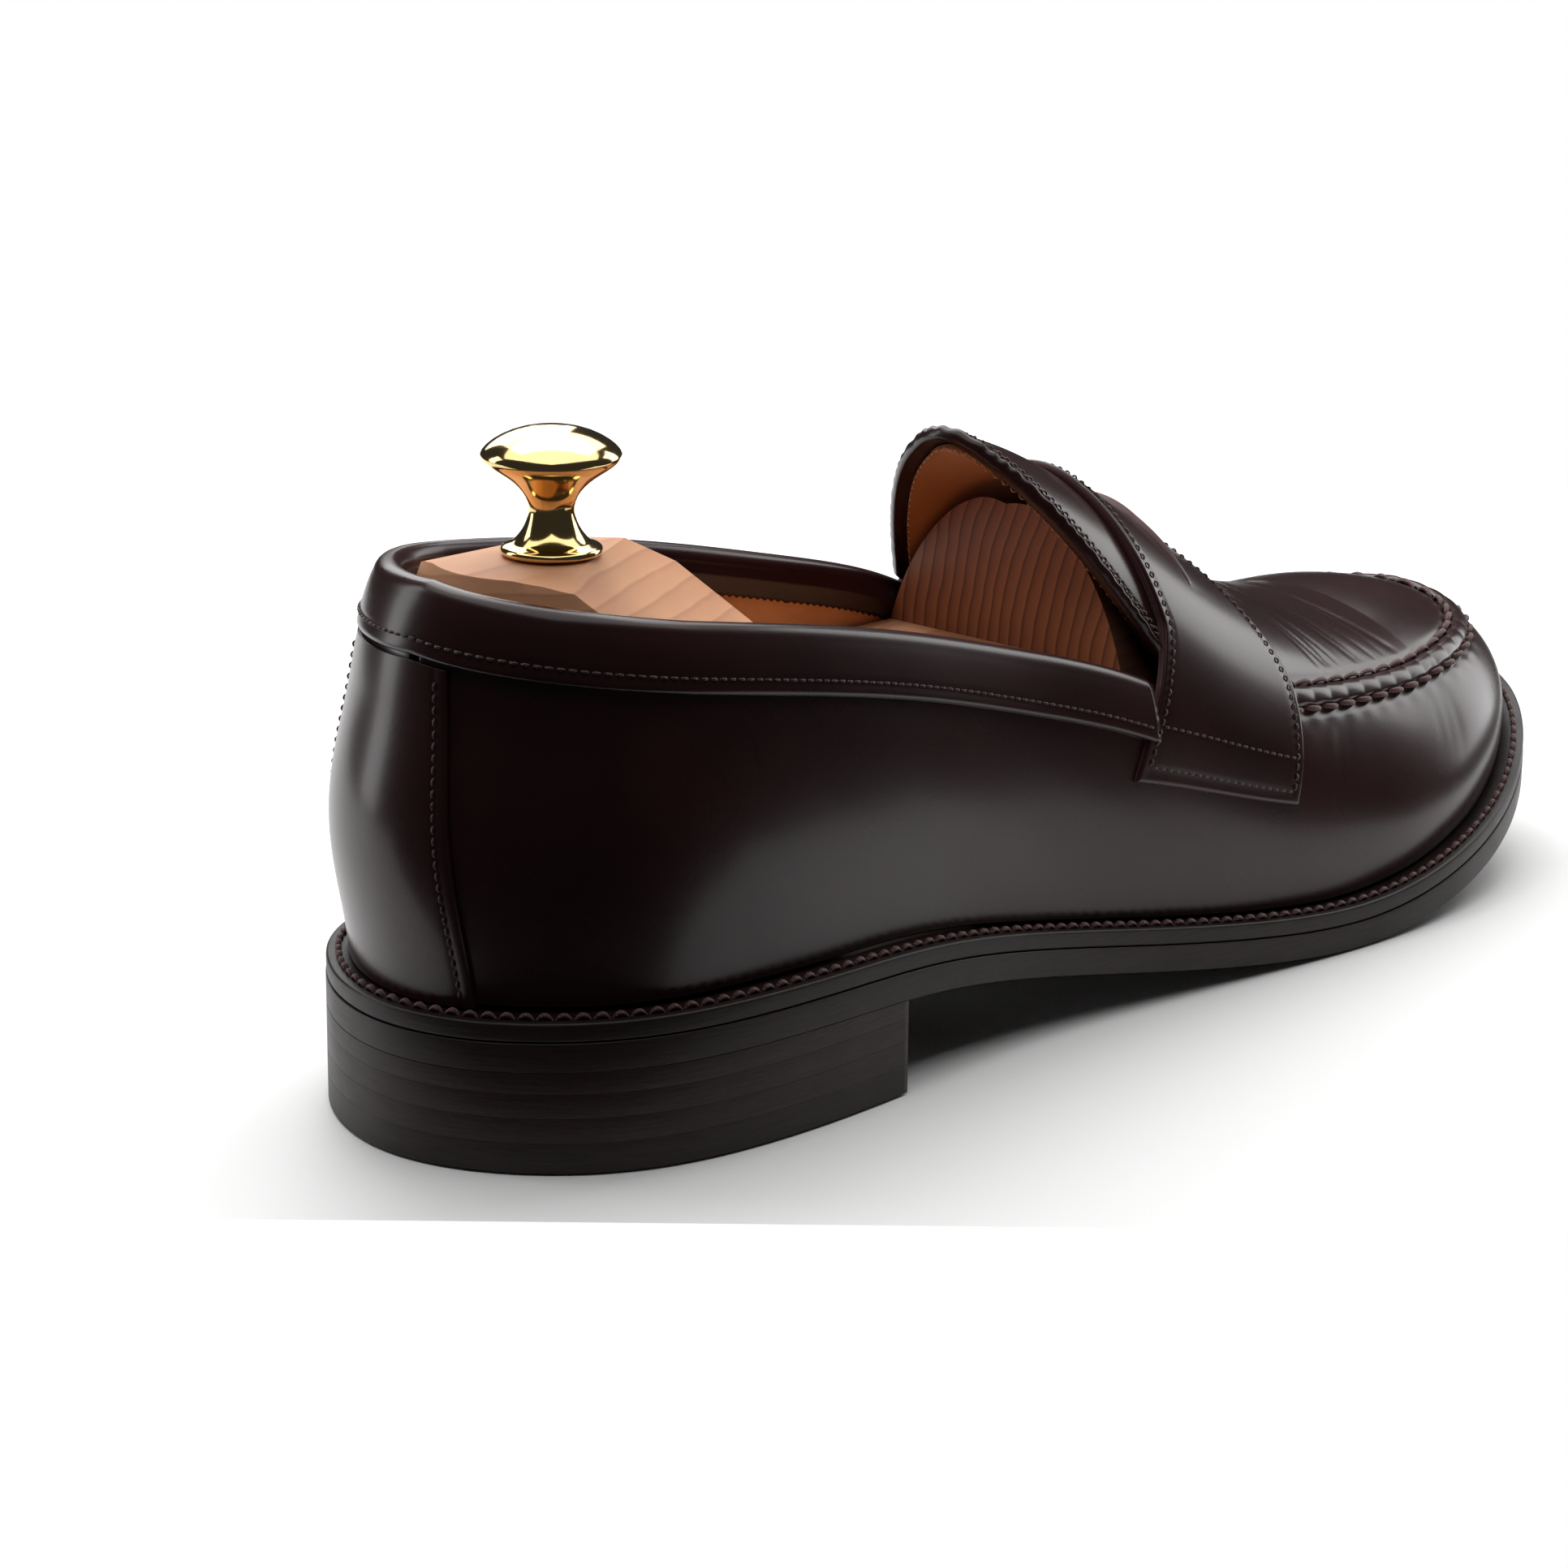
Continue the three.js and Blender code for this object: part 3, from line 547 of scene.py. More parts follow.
def metal(name, dark, light, rough):
    material, tree, shader = nodes_of(name)
    vector = object_coordinates(tree)
    cloud = noise(tree, vector, 90.0, 4.0)
    fine = noise(tree, object_coordinates(tree, Scale=(1, 1, 9)), 900.0, 3.0)
    paint(tree, shader, cloud, [(0.2, dark), (0.8, light)])
    set_inputs(shader, {"Metallic": 1.0})
    tree.links.new(spread(tree, cloud, rough, rough + 0.08), shader.inputs["Roughness"])
    bump(tree, shader, [(fine, 0.04, 0.00005)])
    return material


def granules(name, dark, light):
    material, tree, shader = nodes_of(name)
    vector = object_coordinates(tree)
    cells = tree.nodes.new("ShaderNodeTexVoronoi")
    cells.inputs["Scale"].default_value = 600.0
    tree.links.new(vector, cells.inputs["Vector"])
    paint(tree, shader, cells.outputs["Distance"], [(0.1, light), (0.8, dark)])
    set_inputs(shader, {"Roughness": 0.85})
    bump(tree, shader, [(cells.outputs["Distance"], 0.4, 0.0003)])
    return material


BURGUNDY = polished_leather("burgundy_leather", (0.016, 0.0040, 0.0046), (0.030, 0.0085, 0.0092), 0.27, 0.14)
TRIM = polished_leather("trim_leather", (0.017, 0.0043, 0.0050), (0.031, 0.0090, 0.0098), 0.27, 0.14)
CUT_EDGE = raw_leather("cut_edge", (0.05, 0.008, 0.012), (0.10, 0.02, 0.026), 1200.0, 0.55)
LINING = raw_leather("tan_lining", (0.40, 0.145, 0.04), (0.56, 0.235, 0.08))
# A lighter copy of the tan lining for the quarters: painted light on a lining that sits in shade.
LINING_PAINTED_LIGHT = raw_leather("lining_painted_light", (0.60, 0.26, 0.09), (0.80, 0.40, 0.17))
BOARD = raw_leather("leather_board", (0.26, 0.16, 0.08), (0.38, 0.26, 0.15), 500.0, 0.8)
SOLE_EDGE = sole_edge("sole_edge", (0.009, 0.0045, 0.0038), (0.022, 0.0115, 0.0095))
HEEL_EDGE = sole_edge("heel_edge", (0.011, 0.0055, 0.0045), (0.028, 0.0145, 0.012))
WELT_TOP = sole_edge("welt_top", (0.008, 0.004, 0.0035), (0.02, 0.0105, 0.0095))
RUBBER = sole_edge("rubber", (0.010, 0.0055, 0.0047), (0.022, 0.0125, 0.0105))
THREAD = thread("thread", (0.03, 0.011, 0.010), (0.085, 0.037, 0.033))
APRON_THREAD = thread("apron_thread", (0.05, 0.013, 0.013), (0.14, 0.048, 0.045))
PALE_THREAD = thread("pale_thread", (0.5, 0.45, 0.4), (0.8, 0.76, 0.7))
LINING_THREAD = thread("lining_thread", (0.45, 0.2, 0.07), (0.7, 0.36, 0.15))
CEDAR = cedar("cedar", False, (0.54, 0.25, 0.125), (0.70, 0.36, 0.19))
# Cedar darkened to near black for the forepart's flanks: painted shade, not the wood's own colour.
CEDAR_PAINTED_SHADE = cedar("cedar_painted_shade", False, (0.055, 0.018, 0.009), (0.085, 0.028, 0.013))
CEDAR_END = cedar("cedar_end_grain", True, (0.13, 0.042, 0.018), (0.40, 0.155, 0.07))
BRASS = metal("brass", (0.80, 0.58, 0.24), (0.90, 0.69, 0.34), 0.07)
STEEL = metal("steel", (0.42, 0.42, 0.42), (0.6, 0.6, 0.6), 0.25)
CORK = granules("cork", (0.16, 0.08, 0.03), (0.42, 0.24, 0.11))

PLAIN = {
    "sole_leather": SOLE_EDGE,
    "cork": CORK,
    "stiffener": BOARD,
    "insole_leather": BOARD,
    "steel": STEEL,
    "brass": BRASS,
    "lining_leather": LINING,
    "rubber": RUBBER,
    "upper_leather": BURGUNDY,
    "trim_leather": TRIM,
    "cedar": CEDAR,
}
for entry in frame["record"]["subparts"]:
    node = frame["nodes"].get(entry["node"])
    if node is not None:
        node.data.materials.clear()
        node.data.materials.append(PLAIN[entry["material_slot"]])


# ------------------------------------------------------------------ sole and heel
def slab_rings(offset, count, low_at, high_at, radius, stop=float(LAST)):
    """Outlines of a slab's rounded outer edge, from its top face down to its bottom face."""
    angles = np.radians([90, 68, 45, 22, 0])
    profile = [(-radius + radius * math.cos(a), high_at, -radius + radius * math.sin(a)) for a in angles]
    profile += [(-radius + radius * math.cos(a), low_at, radius - radius * math.sin(a)) for a in angles[::-1]]
    rings = []
    for out, height_at, lift in profile:
        xy = sole_outline(offset + out, count, stop)
        rings.append(np.column_stack([xy, height_at(xy[:, 0]) + lift]))
    return rings


def band(name, offset, count, low_at, high_at, inner, material, radius):
    """A band round the whole shoe with rounded outer edges. inner is how far it goes under the foot."""
    rings = slab_rings(offset, count, low_at, high_at, radius)
    inside = sole_outline(-inner, count)
    rings.insert(0, np.column_stack([inside, high_at(inside[:, 0])]))
    rings.append(np.column_stack([inside, low_at(inside[:, 0])]))
    rings = [ring[:-1] for ring in rings]
    faces = tube_faces(len(rings), len(rings[0]), closed=True)
    return new_object(name, metres(np.concatenate(rings)), faces, material, "shoe")


def filled_slab(name, count, low_at, high_at, material, radius, stop=float(LAST)):
    """A full slab under the foot with rounded outer edges, from the heel to the station stop."""
    rings = slab_rings(WELT_REACH, count, low_at, high_at, radius, stop)
    n = len(rings[0])
    faces = []
    for k in range(len(rings) - 1):
        for i in range(n - 1):
            faces.append((k * n + i, k * n + i + 1, (k + 1) * n + i + 1, (k + 1) * n + i))
    for k in (0, len(rings) - 1):
        for i in range(n // 2):
            faces.append((k * n + i, k * n + i + 1, k * n + n - 2 - i, k * n + n - 1 - i))
    front = [k * n for k in range(len(rings))] + [k * n + n - 1 for k in range(len(rings) - 1, -1, -1)]
    faces.append(tuple(front))
    return new_object(name, metres(np.concatenate(rings)), faces, material, "shoe")


def level_at(height):
    return lambda x: 0 * x + height


def sole_top(x):
    return under(x) + SOLE


outsole = filled_slab("outsole_edge", 220, under, sole_top, SOLE_EDGE, 0.2)
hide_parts("outsole")
welt = band(
    "welt_band", WELT_REACH - 0.1, 220, lambda x: sole_top(x) + 0.1, lambda x: under(x) + EDGE,
    7.0, WELT_TOP, 0.55,
)
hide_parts("welt")
breast = float(station(HEEL_BREAST))
ground = float(under(FINE_X).min())
LIFTS = [
    ("heel_top_piece", level_at(ground), level_at(5.0), RUBBER, "rubber"),
    ("heel_lift_lower", level_at(5.02), level_at(9.3), HEEL_EDGE, "sole_leather"),
    ("heel_lift_middle", level_at(9.32), level_at(13.5), HEEL_EDGE, "sole_leather"),
    ("heel_seat_lift", level_at(13.52), lambda x: under(x) - 0.02, HEEL_EDGE, "sole_leather"),
]
for name, low_at, high_at, look, slot in LIFTS:
    piece = filled_slab(name + "_shape", 110, low_at, high_at, look, 0.02, breast)
    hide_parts(name)

# Stitches that hold the welt, on top of it all round the shoe.
line = sole_outline(WELT_REACH - 2.2, 500)
height = under(line[:, 0]) + EDGE + 0.05
path = np.column_stack([line, height])
up = np.tile([0.0, 0.0, 1.0], (len(path), 1))
stitches("welt_stitches", path, up, 3.1, 2.75, 0.55, APRON_THREAD, sink=0.2)

# ------------------------------------------------------------------ upper
UPPER, TRIM_T, LAYER = 1.4, 1.3, 0.45
TRIM_OUT = LAYER + TRIM_T
LINING_OUT = -UPPER - LAYER - 0.8 - LAYER
FOOT_ANGLE = 0.4


def topline(loop):
    side, u = fold(loop)
    return 44.8 - np.where(side < 0, 1.8, 0.55) * u


def collar_foot(loop):
    side, u = fold(loop)
    return angle_at(u, skin(loop, topline(loop))[..., 2] - 12.0)


def apron_angle(u):
    ahead = 1.2 * np.maximum(u - 9.2, 0)
    behind = 1.25 * np.maximum(9.2 - u, 0) ** 2
    return angle_at(u, 44.6 + ahead + behind)


def strap_rear(across):
    return station(8 - 12 * np.maximum(0, (np.abs(across) - 46) / 24) ** 1.2)


def strap_front(across):
    t = np.abs(across)
    return station(32 + 10.8 * ease(t / 48) - 5.3 * np.maximum(0, (t - 48) / 23) ** 1.2)


def wall_angle(loop):
    """Upper edge of the side wall: the topline behind the strap, the apron seam in front of it."""
    _, u = fold(loop)
    share = ease((on_curve(C_X, u) - 8) / 26)
    return topline(loop) * (1 - share) + apron_angle(u) * share


def soft_waves(base, size, seed):
    """Slow unevenness of leather pulled over a last."""
    x, y, z = base[..., 0], base[..., 1], base[..., 2]
    total = 0
    for k in range(4):
        f = 0.035 * (1.5**k)
        along = np.sin(f * (x * (1 + 0.3 * k) + z * 1.3) + seed * (k + 1))
        total = total + along * np.cos(f * (y + z * 0.7) + seed * 2.3)
    return size * total / 4


QUARTER_END = float(station(10))
VAMP_START = float(station(11.5))


def back_edges(b):
    """Loop positions of the back strap's outer and inner edge, b from its foot to its top."""
    return -mix(0.62, 0.36, b), mix(1.55, 1.3, b)


def back_place(a, b):
    outer_edge, inner_edge = back_edges(b)
    loop = mix(outer_edge, inner_edge, a)
    return loop, mix(FOOT_ANGLE, collar_foot(loop) - 0.6, b)


def back_relief(base, loop, angle, along, across, away):
    return groove(away - 2.2, 0.5, 0.12)


back = leather(
    "back_strap_skin", back_place, samples(56, 0.6), samples(55, 1.2),
    TRIM_OUT - 0.5, TRIM_T, TRIM, back_relief, "ab", 0.8,
)
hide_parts("back_strap")

# Collar: one piece that rolls over the topline and turns down inside, with a pinked inner edge.
COLLAR_INSIDE = 6.5
ROLL = (TRIM_OUT - LINING_OUT + 1.0) / 2


def collar_band():
    rows = 420
    outside = np.concatenate([[0.0, 0.02, 0.05, 0.09], np.linspace(0, 1, 16)[2:]])
    verts = []
    outer_end = float(strap_rear(60.0)) - 0.02
    inner_end = float(strap_rear(53.0)) - 0.02
    for t in np.linspace(0, 1, rows):
        loop = -outer_end + (outer_end + inner_end) * t
        lo = float(collar_foot(np.array(loop)))
        hi = lo + (float(topline(np.array(loop))) - lo) * (1 - ROLL / 12.0)
        base = skin(np.full(outside.shape, loop), lo + (hi - lo) * outside)
        normal = skin_normal(np.full(outside.shape, loop), lo + (hi - lo) * outside)
        run = run_along(base)
        drop = 0.8 - np.sqrt(np.maximum(0.64 - (0.8 - np.minimum(run, 0.8)) ** 2, 0))
        height = TRIM_OUT - drop + groove(run - 2.4, 0.5, 0.14) - 0.5 * np.exp(-((run[-1] - run) / 3.0))
        outer = base + normal * height[:, None]
        top, n = base[-1], normal[-1]
        upward = base[-1] - base[-2]
        upward /= np.linalg.norm(upward)
        start_depth = float(height[-1])
        r = (start_depth - (LINING_OUT - 0.6)) / 2
        centre = top + n * (start_depth - r)
        turns = np.linspace(0.18, math.pi, 11)
        bend = [centre + n * r * math.cos(w) + upward * r * 1.15 * math.sin(w) for w in turns]
        down = COLLAR_INSIDE + (0.55 if int(t * 430) % 2 else -0.1)
        inside = []
        for d in np.linspace(0, 1, 8)[1:]:
            at = max(hi - (hi - lo) * d * down / 12.0, 6.0)
            q = skin(np.array(loop), np.array(at))
            m = skin_normal(np.array(loop), np.array(at))
            inside.append(q + m * (LINING_OUT - 1.6 + 0.25 * d))
        tail = [inside[-1] + n * 0.7]
        under_side = [base[0] + normal[0] * (TRIM_OUT - TRIM_T)]
        verts.append(np.concatenate([under_side, outer, bend, inside, tail]))
    n = len(verts[0])
    faces = grid_faces(rows, n)
    for start, turn in ((0, False), ((rows - 1) * n, True)):
        ring = [start + j for j in range(n)]
        for j in range(n // 2 - 1):
            quad = (ring[j], ring[j + 1], ring[n - 2 - j], ring[n - 1 - j])
            faces.append(quad[::-1] if turn else quad)
    return new_object("collar_skin", metres(np.concatenate(verts)), faces, TRIM, "shoe")


collar = collar_band()
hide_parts("collar_band")


# Lining of the quarters, in a lighter copy of the tan lining that paints light onto its shaded inside.
def lining_relief(base, loop, angle, along, across, away):
    return soft_waves(base, 0.25, 1.0)


def lining_place(a, b):
    loop = (2 * a - 1) * QUARTER_END
    return loop, FOOT_ANGLE + 5 + (topline(loop) - 3.0 - FOOT_ANGLE - 5) * b


lining = leather(
    "quarter_lining_skin", lining_place, samples(330, 3.0), samples(65, 2.5),
    LINING_OUT, 1.0, LINING_PAINTED_LIGHT, lining_relief,
)
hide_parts("quarter_lining")


# Vamp, from under the strap round the toe, and the apron above it.
def round_toe(a, start):
    loop = (2 * a - 1) * (LAST - start)
    return np.where(loop < 0, -1.0, 1.0) * (LAST - np.abs(loop))


SEAM_HALF = 2.2
SEAM_PITCH = 6.0


def vamp_place(a, b):
    loop = round_toe(a, 0.03)
    return loop, FOOT_ANGLE + (wall_angle(loop) - 0.5 - FOOT_ANGLE) * b


def pucker(run):
    return np.sin(2 * np.pi * run / SEAM_PITCH)


def fan(count, start, end, lean):
    """Creases as (place on the ridge, lean to the side, depth, width)."""
    found = []
    for k in range(count):
        at = mix(start, end, (k + rng.uniform(0.1, 0.9)) / count)
        found.append((at, lean + rng.uniform(-0.08, 0.08), rng.uniform(0.4, 1.0), rng.uniform(0.5, 0.8)))
    return found


CREASES = fan(9, 47, 58, 0.35) + fan(6, 62, 68, 0.42) + fan(3, 76, 84, 0.3)
WALL_CREASES = fan(4, 48, 58, -0.3) + fan(3, 88, 98, -0.2)


def vamp_relief(base, loop, angle, along, across, away):
    top = across[:, -1:] - across
    ahead = ease((base[..., 0] - 36) / 10)
    near_seam = ahead * np.exp(-((top - 3.4) / 2.0) ** 2)
    folds = near_seam * 0.07 * pucker(along[:, -1:] * np.ones_like(along))
    total = folds + ahead * groove(top - 2.8, 0.7, 0.3) + soft_waves(base, 0.22, 2.0)
    x = base[..., 0]
    for at, lean, size, width in WALL_CREASES:
        line = x - at - lean * (top - 4)
        fade = ease((top - 4) / 3) * np.exp(-(np.maximum(top - 9, 0) / 7) ** 2)
        total = total - 0.1 * size * fade * np.exp(-((line / (2 * width)) ** 2))
    return total


vamp = leather(
    "vamp_skin", vamp_place, samples(720, 1.2), samples(60, 1.2),
    0.0, UPPER, BURGUNDY, vamp_relief,
)
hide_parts("vamp")


def apron_place(a, b):
    loop = round_toe(a, VAMP_START)
    low = wall_angle(loop) + 0.5
    return loop, low + (90 - low) * b


def apron_relief(base, loop, angle, along, across, away):
    x, y = base[..., 0], base[..., 1]
    total = groove(across - 2.8, 0.7, 0.35) + soft_waves(base, 0.15, 3.0)
    for at, lean, size, width in CREASES:
        line = x - at - lean * np.abs(y + 4) - 0.8 * np.sin(0.12 * y + at)
        fade = ease((across - 3.5) / 4) * (0.45 + 0.55 * np.sin(0.16 * y + 2 * at) ** 2)
        total = total - 0.2 * size * fade * np.exp(-((line / width) ** 2))
    return total


apron = leather(
    "apron_skin", apron_place, samples(330, 0.6), samples(46, 1.0),
    0.0, UPPER, BURGUNDY, apron_relief, "abc",
)
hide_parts("apron")

# The raised seam: a rounded ridge, gathered between its stitches.
SEAM_START = float(station(47))
seam_rows = 700
seam_loop = round_toe(np.linspace(0, 1, seam_rows), SEAM_START - 0.25)
_, seam_u = fold(seam_loop)
seam_mid, seam_normal = skin_path(seam_loop, apron_angle(seam_u), 0.0)
seam_run = run_along(seam_mid)
seam_side = np.cross(unit(np.gradient(seam_mid, axis=0)), seam_normal)
rise_side = np.sign(seam_side[:, 2:3])
seam_side = seam_side * np.where(rise_side == 0, 1, rise_side)


def seam_ridge():
    verts = []
    half_turns = np.linspace(0, np.pi, 15)
    for i in range(seam_rows):
        wave = 0.5 + 0.5 * math.cos(2 * math.pi * seam_run[i] / SEAM_PITCH)
        wide = SEAM_HALF * (1 - 0.05 * wave)
        tall = 1.7 * (0.9 + 0.1 * wave**0.5)
        row = []
        for w in half_turns:
            out = seam_side[i] * wide * math.cos(w) + seam_normal[i] * (tall * math.sin(w) ** 0.8 - 0.15)
            row.append(seam_mid[i] + out)
        for w in half_turns[::-1][1:-1:3]:
            row.append(seam_mid[i] + seam_side[i] * wide * math.cos(w) - seam_normal[i] * 0.1)
        verts.append(row)
    n = len(verts[0])
    faces = tube_faces(seam_rows, n)
    faces.append(tuple(range(n)))
    faces.append(tuple((seam_rows - 1) * n + j for j in range(n))[::-1])
    return new_object("apron_seam_ridge", metres(np.concatenate(verts)), faces, TRIM, "shoe")


ridge = seam_ridge()
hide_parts("apron_seam")
for name, out in (("apron_stitches_upper", 1), ("apron_stitches_lower", -1)):
    path = seam_mid + seam_side * out * (SEAM_HALF + 0.35) + seam_normal * 0.15
    lean = seam_normal + seam_side * out * 0.5
    stitches(name, path, lean, SEAM_PITCH, 5.4, 0.6, APRON_THREAD, sink=0.35, slant=0.5)


# Lining of the vamp, seen only inside.
LINING_START = float(station(26))


def vamp_lining_place(a, b):
    loop = round_toe(a, LINING_START)
    return loop, FOOT_ANGLE + 5 + (90 - FOOT_ANGLE - 5) * b


vamp_lining = leather(
    "vamp_lining_skin", vamp_lining_place, samples(330, 4.0), samples(80, 3.0),
    LINING_OUT, 1.0, LINING, None, "ab",
)
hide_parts("vamp_lining")

# ------------------------------------------------------------------ tongue
TONGUE_FOOT_X, TONGUE_FOOT_Z, TONGUE_LEAN = 6.0, 63.0, 0.6
TONGUE_OUTER, TONGUE_INNER = 54.0, 48.0  # degrees across the ridge


def across_loop(u, across):
    return np.where(across < 0, -1.0, 1.0) * u, 90 - np.abs(across)


def tongue_rear(across):
    across = np.asarray(across, float)
    low = np.full(across.shape, float(station(-60)))
    high = np.full(across.shape, float(station(20)))
    for _ in range(30):
        mid = (low + high) / 2
        loop, angle = across_loop(mid, across)
        p = skin(loop, angle)
        behind = p[..., 0] + TONGUE_LEAN * p[..., 2] < TONGUE_FOOT_X + TONGUE_LEAN * TONGUE_FOOT_Z
        low = np.where(behind, mid, low)
        high = np.where(behind, high, mid)
    return (low + high) / 2


def tongue_place(inset, rear):
    def place(a, b):
        across = mix(-TONGUE_OUTER + inset, TONGUE_INNER - inset, a)
        u0 = tongue_rear(across) + rear
        return across_loop(u0 + (VAMP_START + 0.6 - u0) * b, across)

    return place


def tongue_relief(base, loop, angle, along, across, away):
    crumple = 0.16 * np.sin(along * 1.9 + 2 * np.sin(along * 0.37)) * np.exp(-((across - 1.3) / 1.5) ** 2)
    rolled = 0.8 * np.exp(-((across - 1.3) / 1.5) ** 2)
    rows = groove(across - 3.5, 0.4, 0.14) + groove(across - 4.7, 0.4, 0.14)
    return crumple + rolled + rows


tongue = leather(
    "tongue_skin", tongue_place(0.0, 0.0), samples(122, 0.7), samples(36, 0.6),
    0.0, UPPER + 0.6, TRIM, tongue_relief, "abc", 1.2,
)
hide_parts("tongue")
tongue_lining = leather(
    "tongue_lining_skin", tongue_place(1.0, 0.12), samples(116, 1.5), samples(32, 1.5),
    -UPPER - 0.65, 1.0, LINING,
)
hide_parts("tongue_lining")


def tongue_row(name, inset, height, look, facing, pitch, length, radius):
    across = np.linspace(-TONGUE_OUTER + 2, TONGUE_INNER - 2, 240)
    loop, angle = across_loop(tongue_rear(across), across)
    ahead = unit(skin(*across_loop(tongue_rear(across) + 0.05, across)) - skin(loop, angle))
    base = skin(loop, angle) + ahead * inset
    normal = skin_normal(loop, angle)
    stitches(name, base + normal * height, normal * facing, pitch, length, radius, look)


tongue_row("tongue_stitches_rear", 3.5, 0.1, THREAD, 1, 1.8, 1.5, 0.26)
tongue_row("tongue_stitches_front", 4.7, 0.05, THREAD, 1, 1.8, 1.5, 0.26)
tongue_row("tongue_lining_stitches", 3.2, -UPPER - 1.75, LINING_THREAD, -1, 2.0, 1.4, 0.22)

# ------------------------------------------------------------------ saddle strap
STRAP_SPREAD = 71.3
STRAP_OUT = TRIM_OUT
SLIT_SPREAD = 34.0  # degrees across the ridge at the ends of the coin slot
SLIT_X = 23.0
FOOT_THINNING = 0.8


def slit_share(across):
    u0, u1 = strap_rear(across), strap_front(across)
    return (station(np.full(np.shape(across), SLIT_X)) - u0) / (u1 - u0)


def slit_width(across):
    """Half width of the slot, as a share of the strap's width."""
    return 0.014 * np.maximum(1 - (across / SLIT_SPREAD) ** 2, 0)


def foot_drop(loop, angle):
    """How much the strap is thinned where it lies on the wall, below the collar."""
    return FOOT_THINNING * ease((collar_foot(loop) + 9 - angle) / 16)


def strap_place(a, b):
    across = (2 * a - 1) * STRAP_SPREAD
    u0, u1 = strap_rear(across), strap_front(across)
    middle, half = slit_share(across), slit_width(across)
    behind = b / 0.5 * (middle - half)
    front = middle + half + (b - 0.5) / 0.5 * (1 - middle - half)
    share = np.where(np.arange(b.shape[1])[None, :] < SLIT_COLUMN + 1, behind, front)
    return across_loop(u0 + (u1 - u0) * share, across)


def strap_relief(base, loop, angle, along, across, away):
    turned_by = (90 - angle) / SLIT_SPREAD
    open_here = np.maximum(1 - turned_by**2, 0)
    lips = across[:, SLIT_COLUMN : SLIT_COLUMN + 2]
    from_slit = across - (lips[:, :1] + lips[:, 1:]) / 2
    lip = 1.7 * open_here * np.exp(-np.maximum(from_slit, 0) / 4.5) * ease(from_slit + 0.5)
    dip = -0.4 * open_here * np.exp(-np.maximum(-from_slit, 0) / 3.0) * ease(0.5 - from_slit)
    seams = groove(away - 2.0, 0.45, 0.14)
    return seams + soft_waves(base, 0.12, 5.0) + lip + dip - foot_drop(loop, angle)


strap_rows = samples(160, 0.9)
strap_columns = samples(36, 0.8)
SLIT_COLUMN = len(strap_columns) // 2
half_columns = strap_columns[: SLIT_COLUMN + 1] / strap_columns[SLIT_COLUMN] * 0.5
strap_columns = np.concatenate([half_columns, 1 - half_columns[::-1]])
cut_rows = np.nonzero(np.abs(2 * strap_rows - 1) * STRAP_SPREAD < SLIT_SPREAD)[0]
slit = (SLIT_COLUMN, int(cut_rows[0]), int(cut_rows[-1]))
strap = leather(
    "saddle_strap_skin", strap_place, strap_rows, strap_columns,
    STRAP_OUT, 1.7, TRIM, strap_relief, "abcd", 0.5, slit, CUT_EDGE,
)
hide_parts("saddle_strap")


def lowered_path(loop, angle, height):
    base, normal = skin_path(loop, angle, height)
    return base - normal * foot_drop(loop, angle)[..., None], normal


def strap_point(across, ahead, height):
    """Point on the strap: degrees across the ridge and millimetres in from the rear edge."""
    across = np.asarray(across, float)
    u0, u1 = strap_rear(across), strap_front(across)
    wide = skin(*across_loop(u1, across)) - skin(*across_loop(u0, across))
    share = np.asarray(ahead, float) / np.linalg.norm(wide, axis=-1)
    share = np.where(np.asarray(ahead) < 0, 1 + share, share)
    loop, angle = across_loop(u0 + (u1 - u0) * share, across)
    return lowered_path(loop, angle, height)


def fine_row(name, path, normal, radius):
    stitches(name, path, normal, 1.9, 1.5, radius, THREAD)


STITCH_INSET = 2.2
CROSS_INSET = 8.2
SIDES = ((-1, "outer"), (1, "inner"))
turn = np.linspace(-STRAP_SPREAD + STITCH_INSET, STRAP_SPREAD - STITCH_INSET, 300)
for row, ahead in (("rear", 2.0), ("front", -2.0)):
    path, normal = strap_point(turn, np.full(turn.shape, ahead), STRAP_OUT - 0.05)
    fine_row("strap_stitches_" + row, path, normal, 0.24)
for side, label in SIDES:
    share = np.linspace(0, 1, 60)
    for row, inset in (("foot", STITCH_INSET), ("cross", CROSS_INSET)):
        at = np.full(share.shape, side * (STRAP_SPREAD - inset))
        u0, u1 = strap_rear(at), strap_front(at)
        loop, angle = across_loop(u0 + (u1 - u0) * (0.055 + 0.89 * share), at)
        path, normal = lowered_path(loop, angle, STRAP_OUT - 0.05)
        fine_row("strap_stitches_" + row + "_" + label, path, normal, 0.24)

# White bar tack inside the collar, at its front end on the inner side.
BAR_LOOP = float(strap_rear(53.0)) - 0.1
bar_angle = float(topline(np.array(BAR_LOOP))) - np.linspace(0.5, 6.0, 30)
path, normal = skin_path(np.full(bar_angle.shape, BAR_LOOP), bar_angle, LINING_OUT - 1.5)
stitches("collar_bar_tack", path, -normal, 1.5, 1.45, 0.35, PALE_THREAD, sink=0.1)

# Rows of fine stitches on the collar and the back strap.
collar_loop = np.linspace(-float(strap_rear(62.0)) + 0.03, float(strap_rear(55.0)) - 0.03, 900)
foot, top = collar_foot(collar_loop), topline(collar_loop)
path, normal = skin_path(collar_loop, foot + (top - foot) * 0.2, TRIM_OUT - 0.08)
fine_row("collar_stitches", path, normal, 0.23)
for side, label in SIDES:
    b = np.linspace(0.02, 0.96, 200)
    outer_edge, inner_edge = back_edges(b)
    loop = outer_edge + 0.1 if side < 0 else inner_edge - 0.1
    angle = mix(FOOT_ANGLE, collar_foot(loop) - 0.6, b)
    path, normal = skin_path(loop, angle, TRIM_OUT - 0.55)
    fine_row("back_stitches_" + label, path, normal, 0.23)


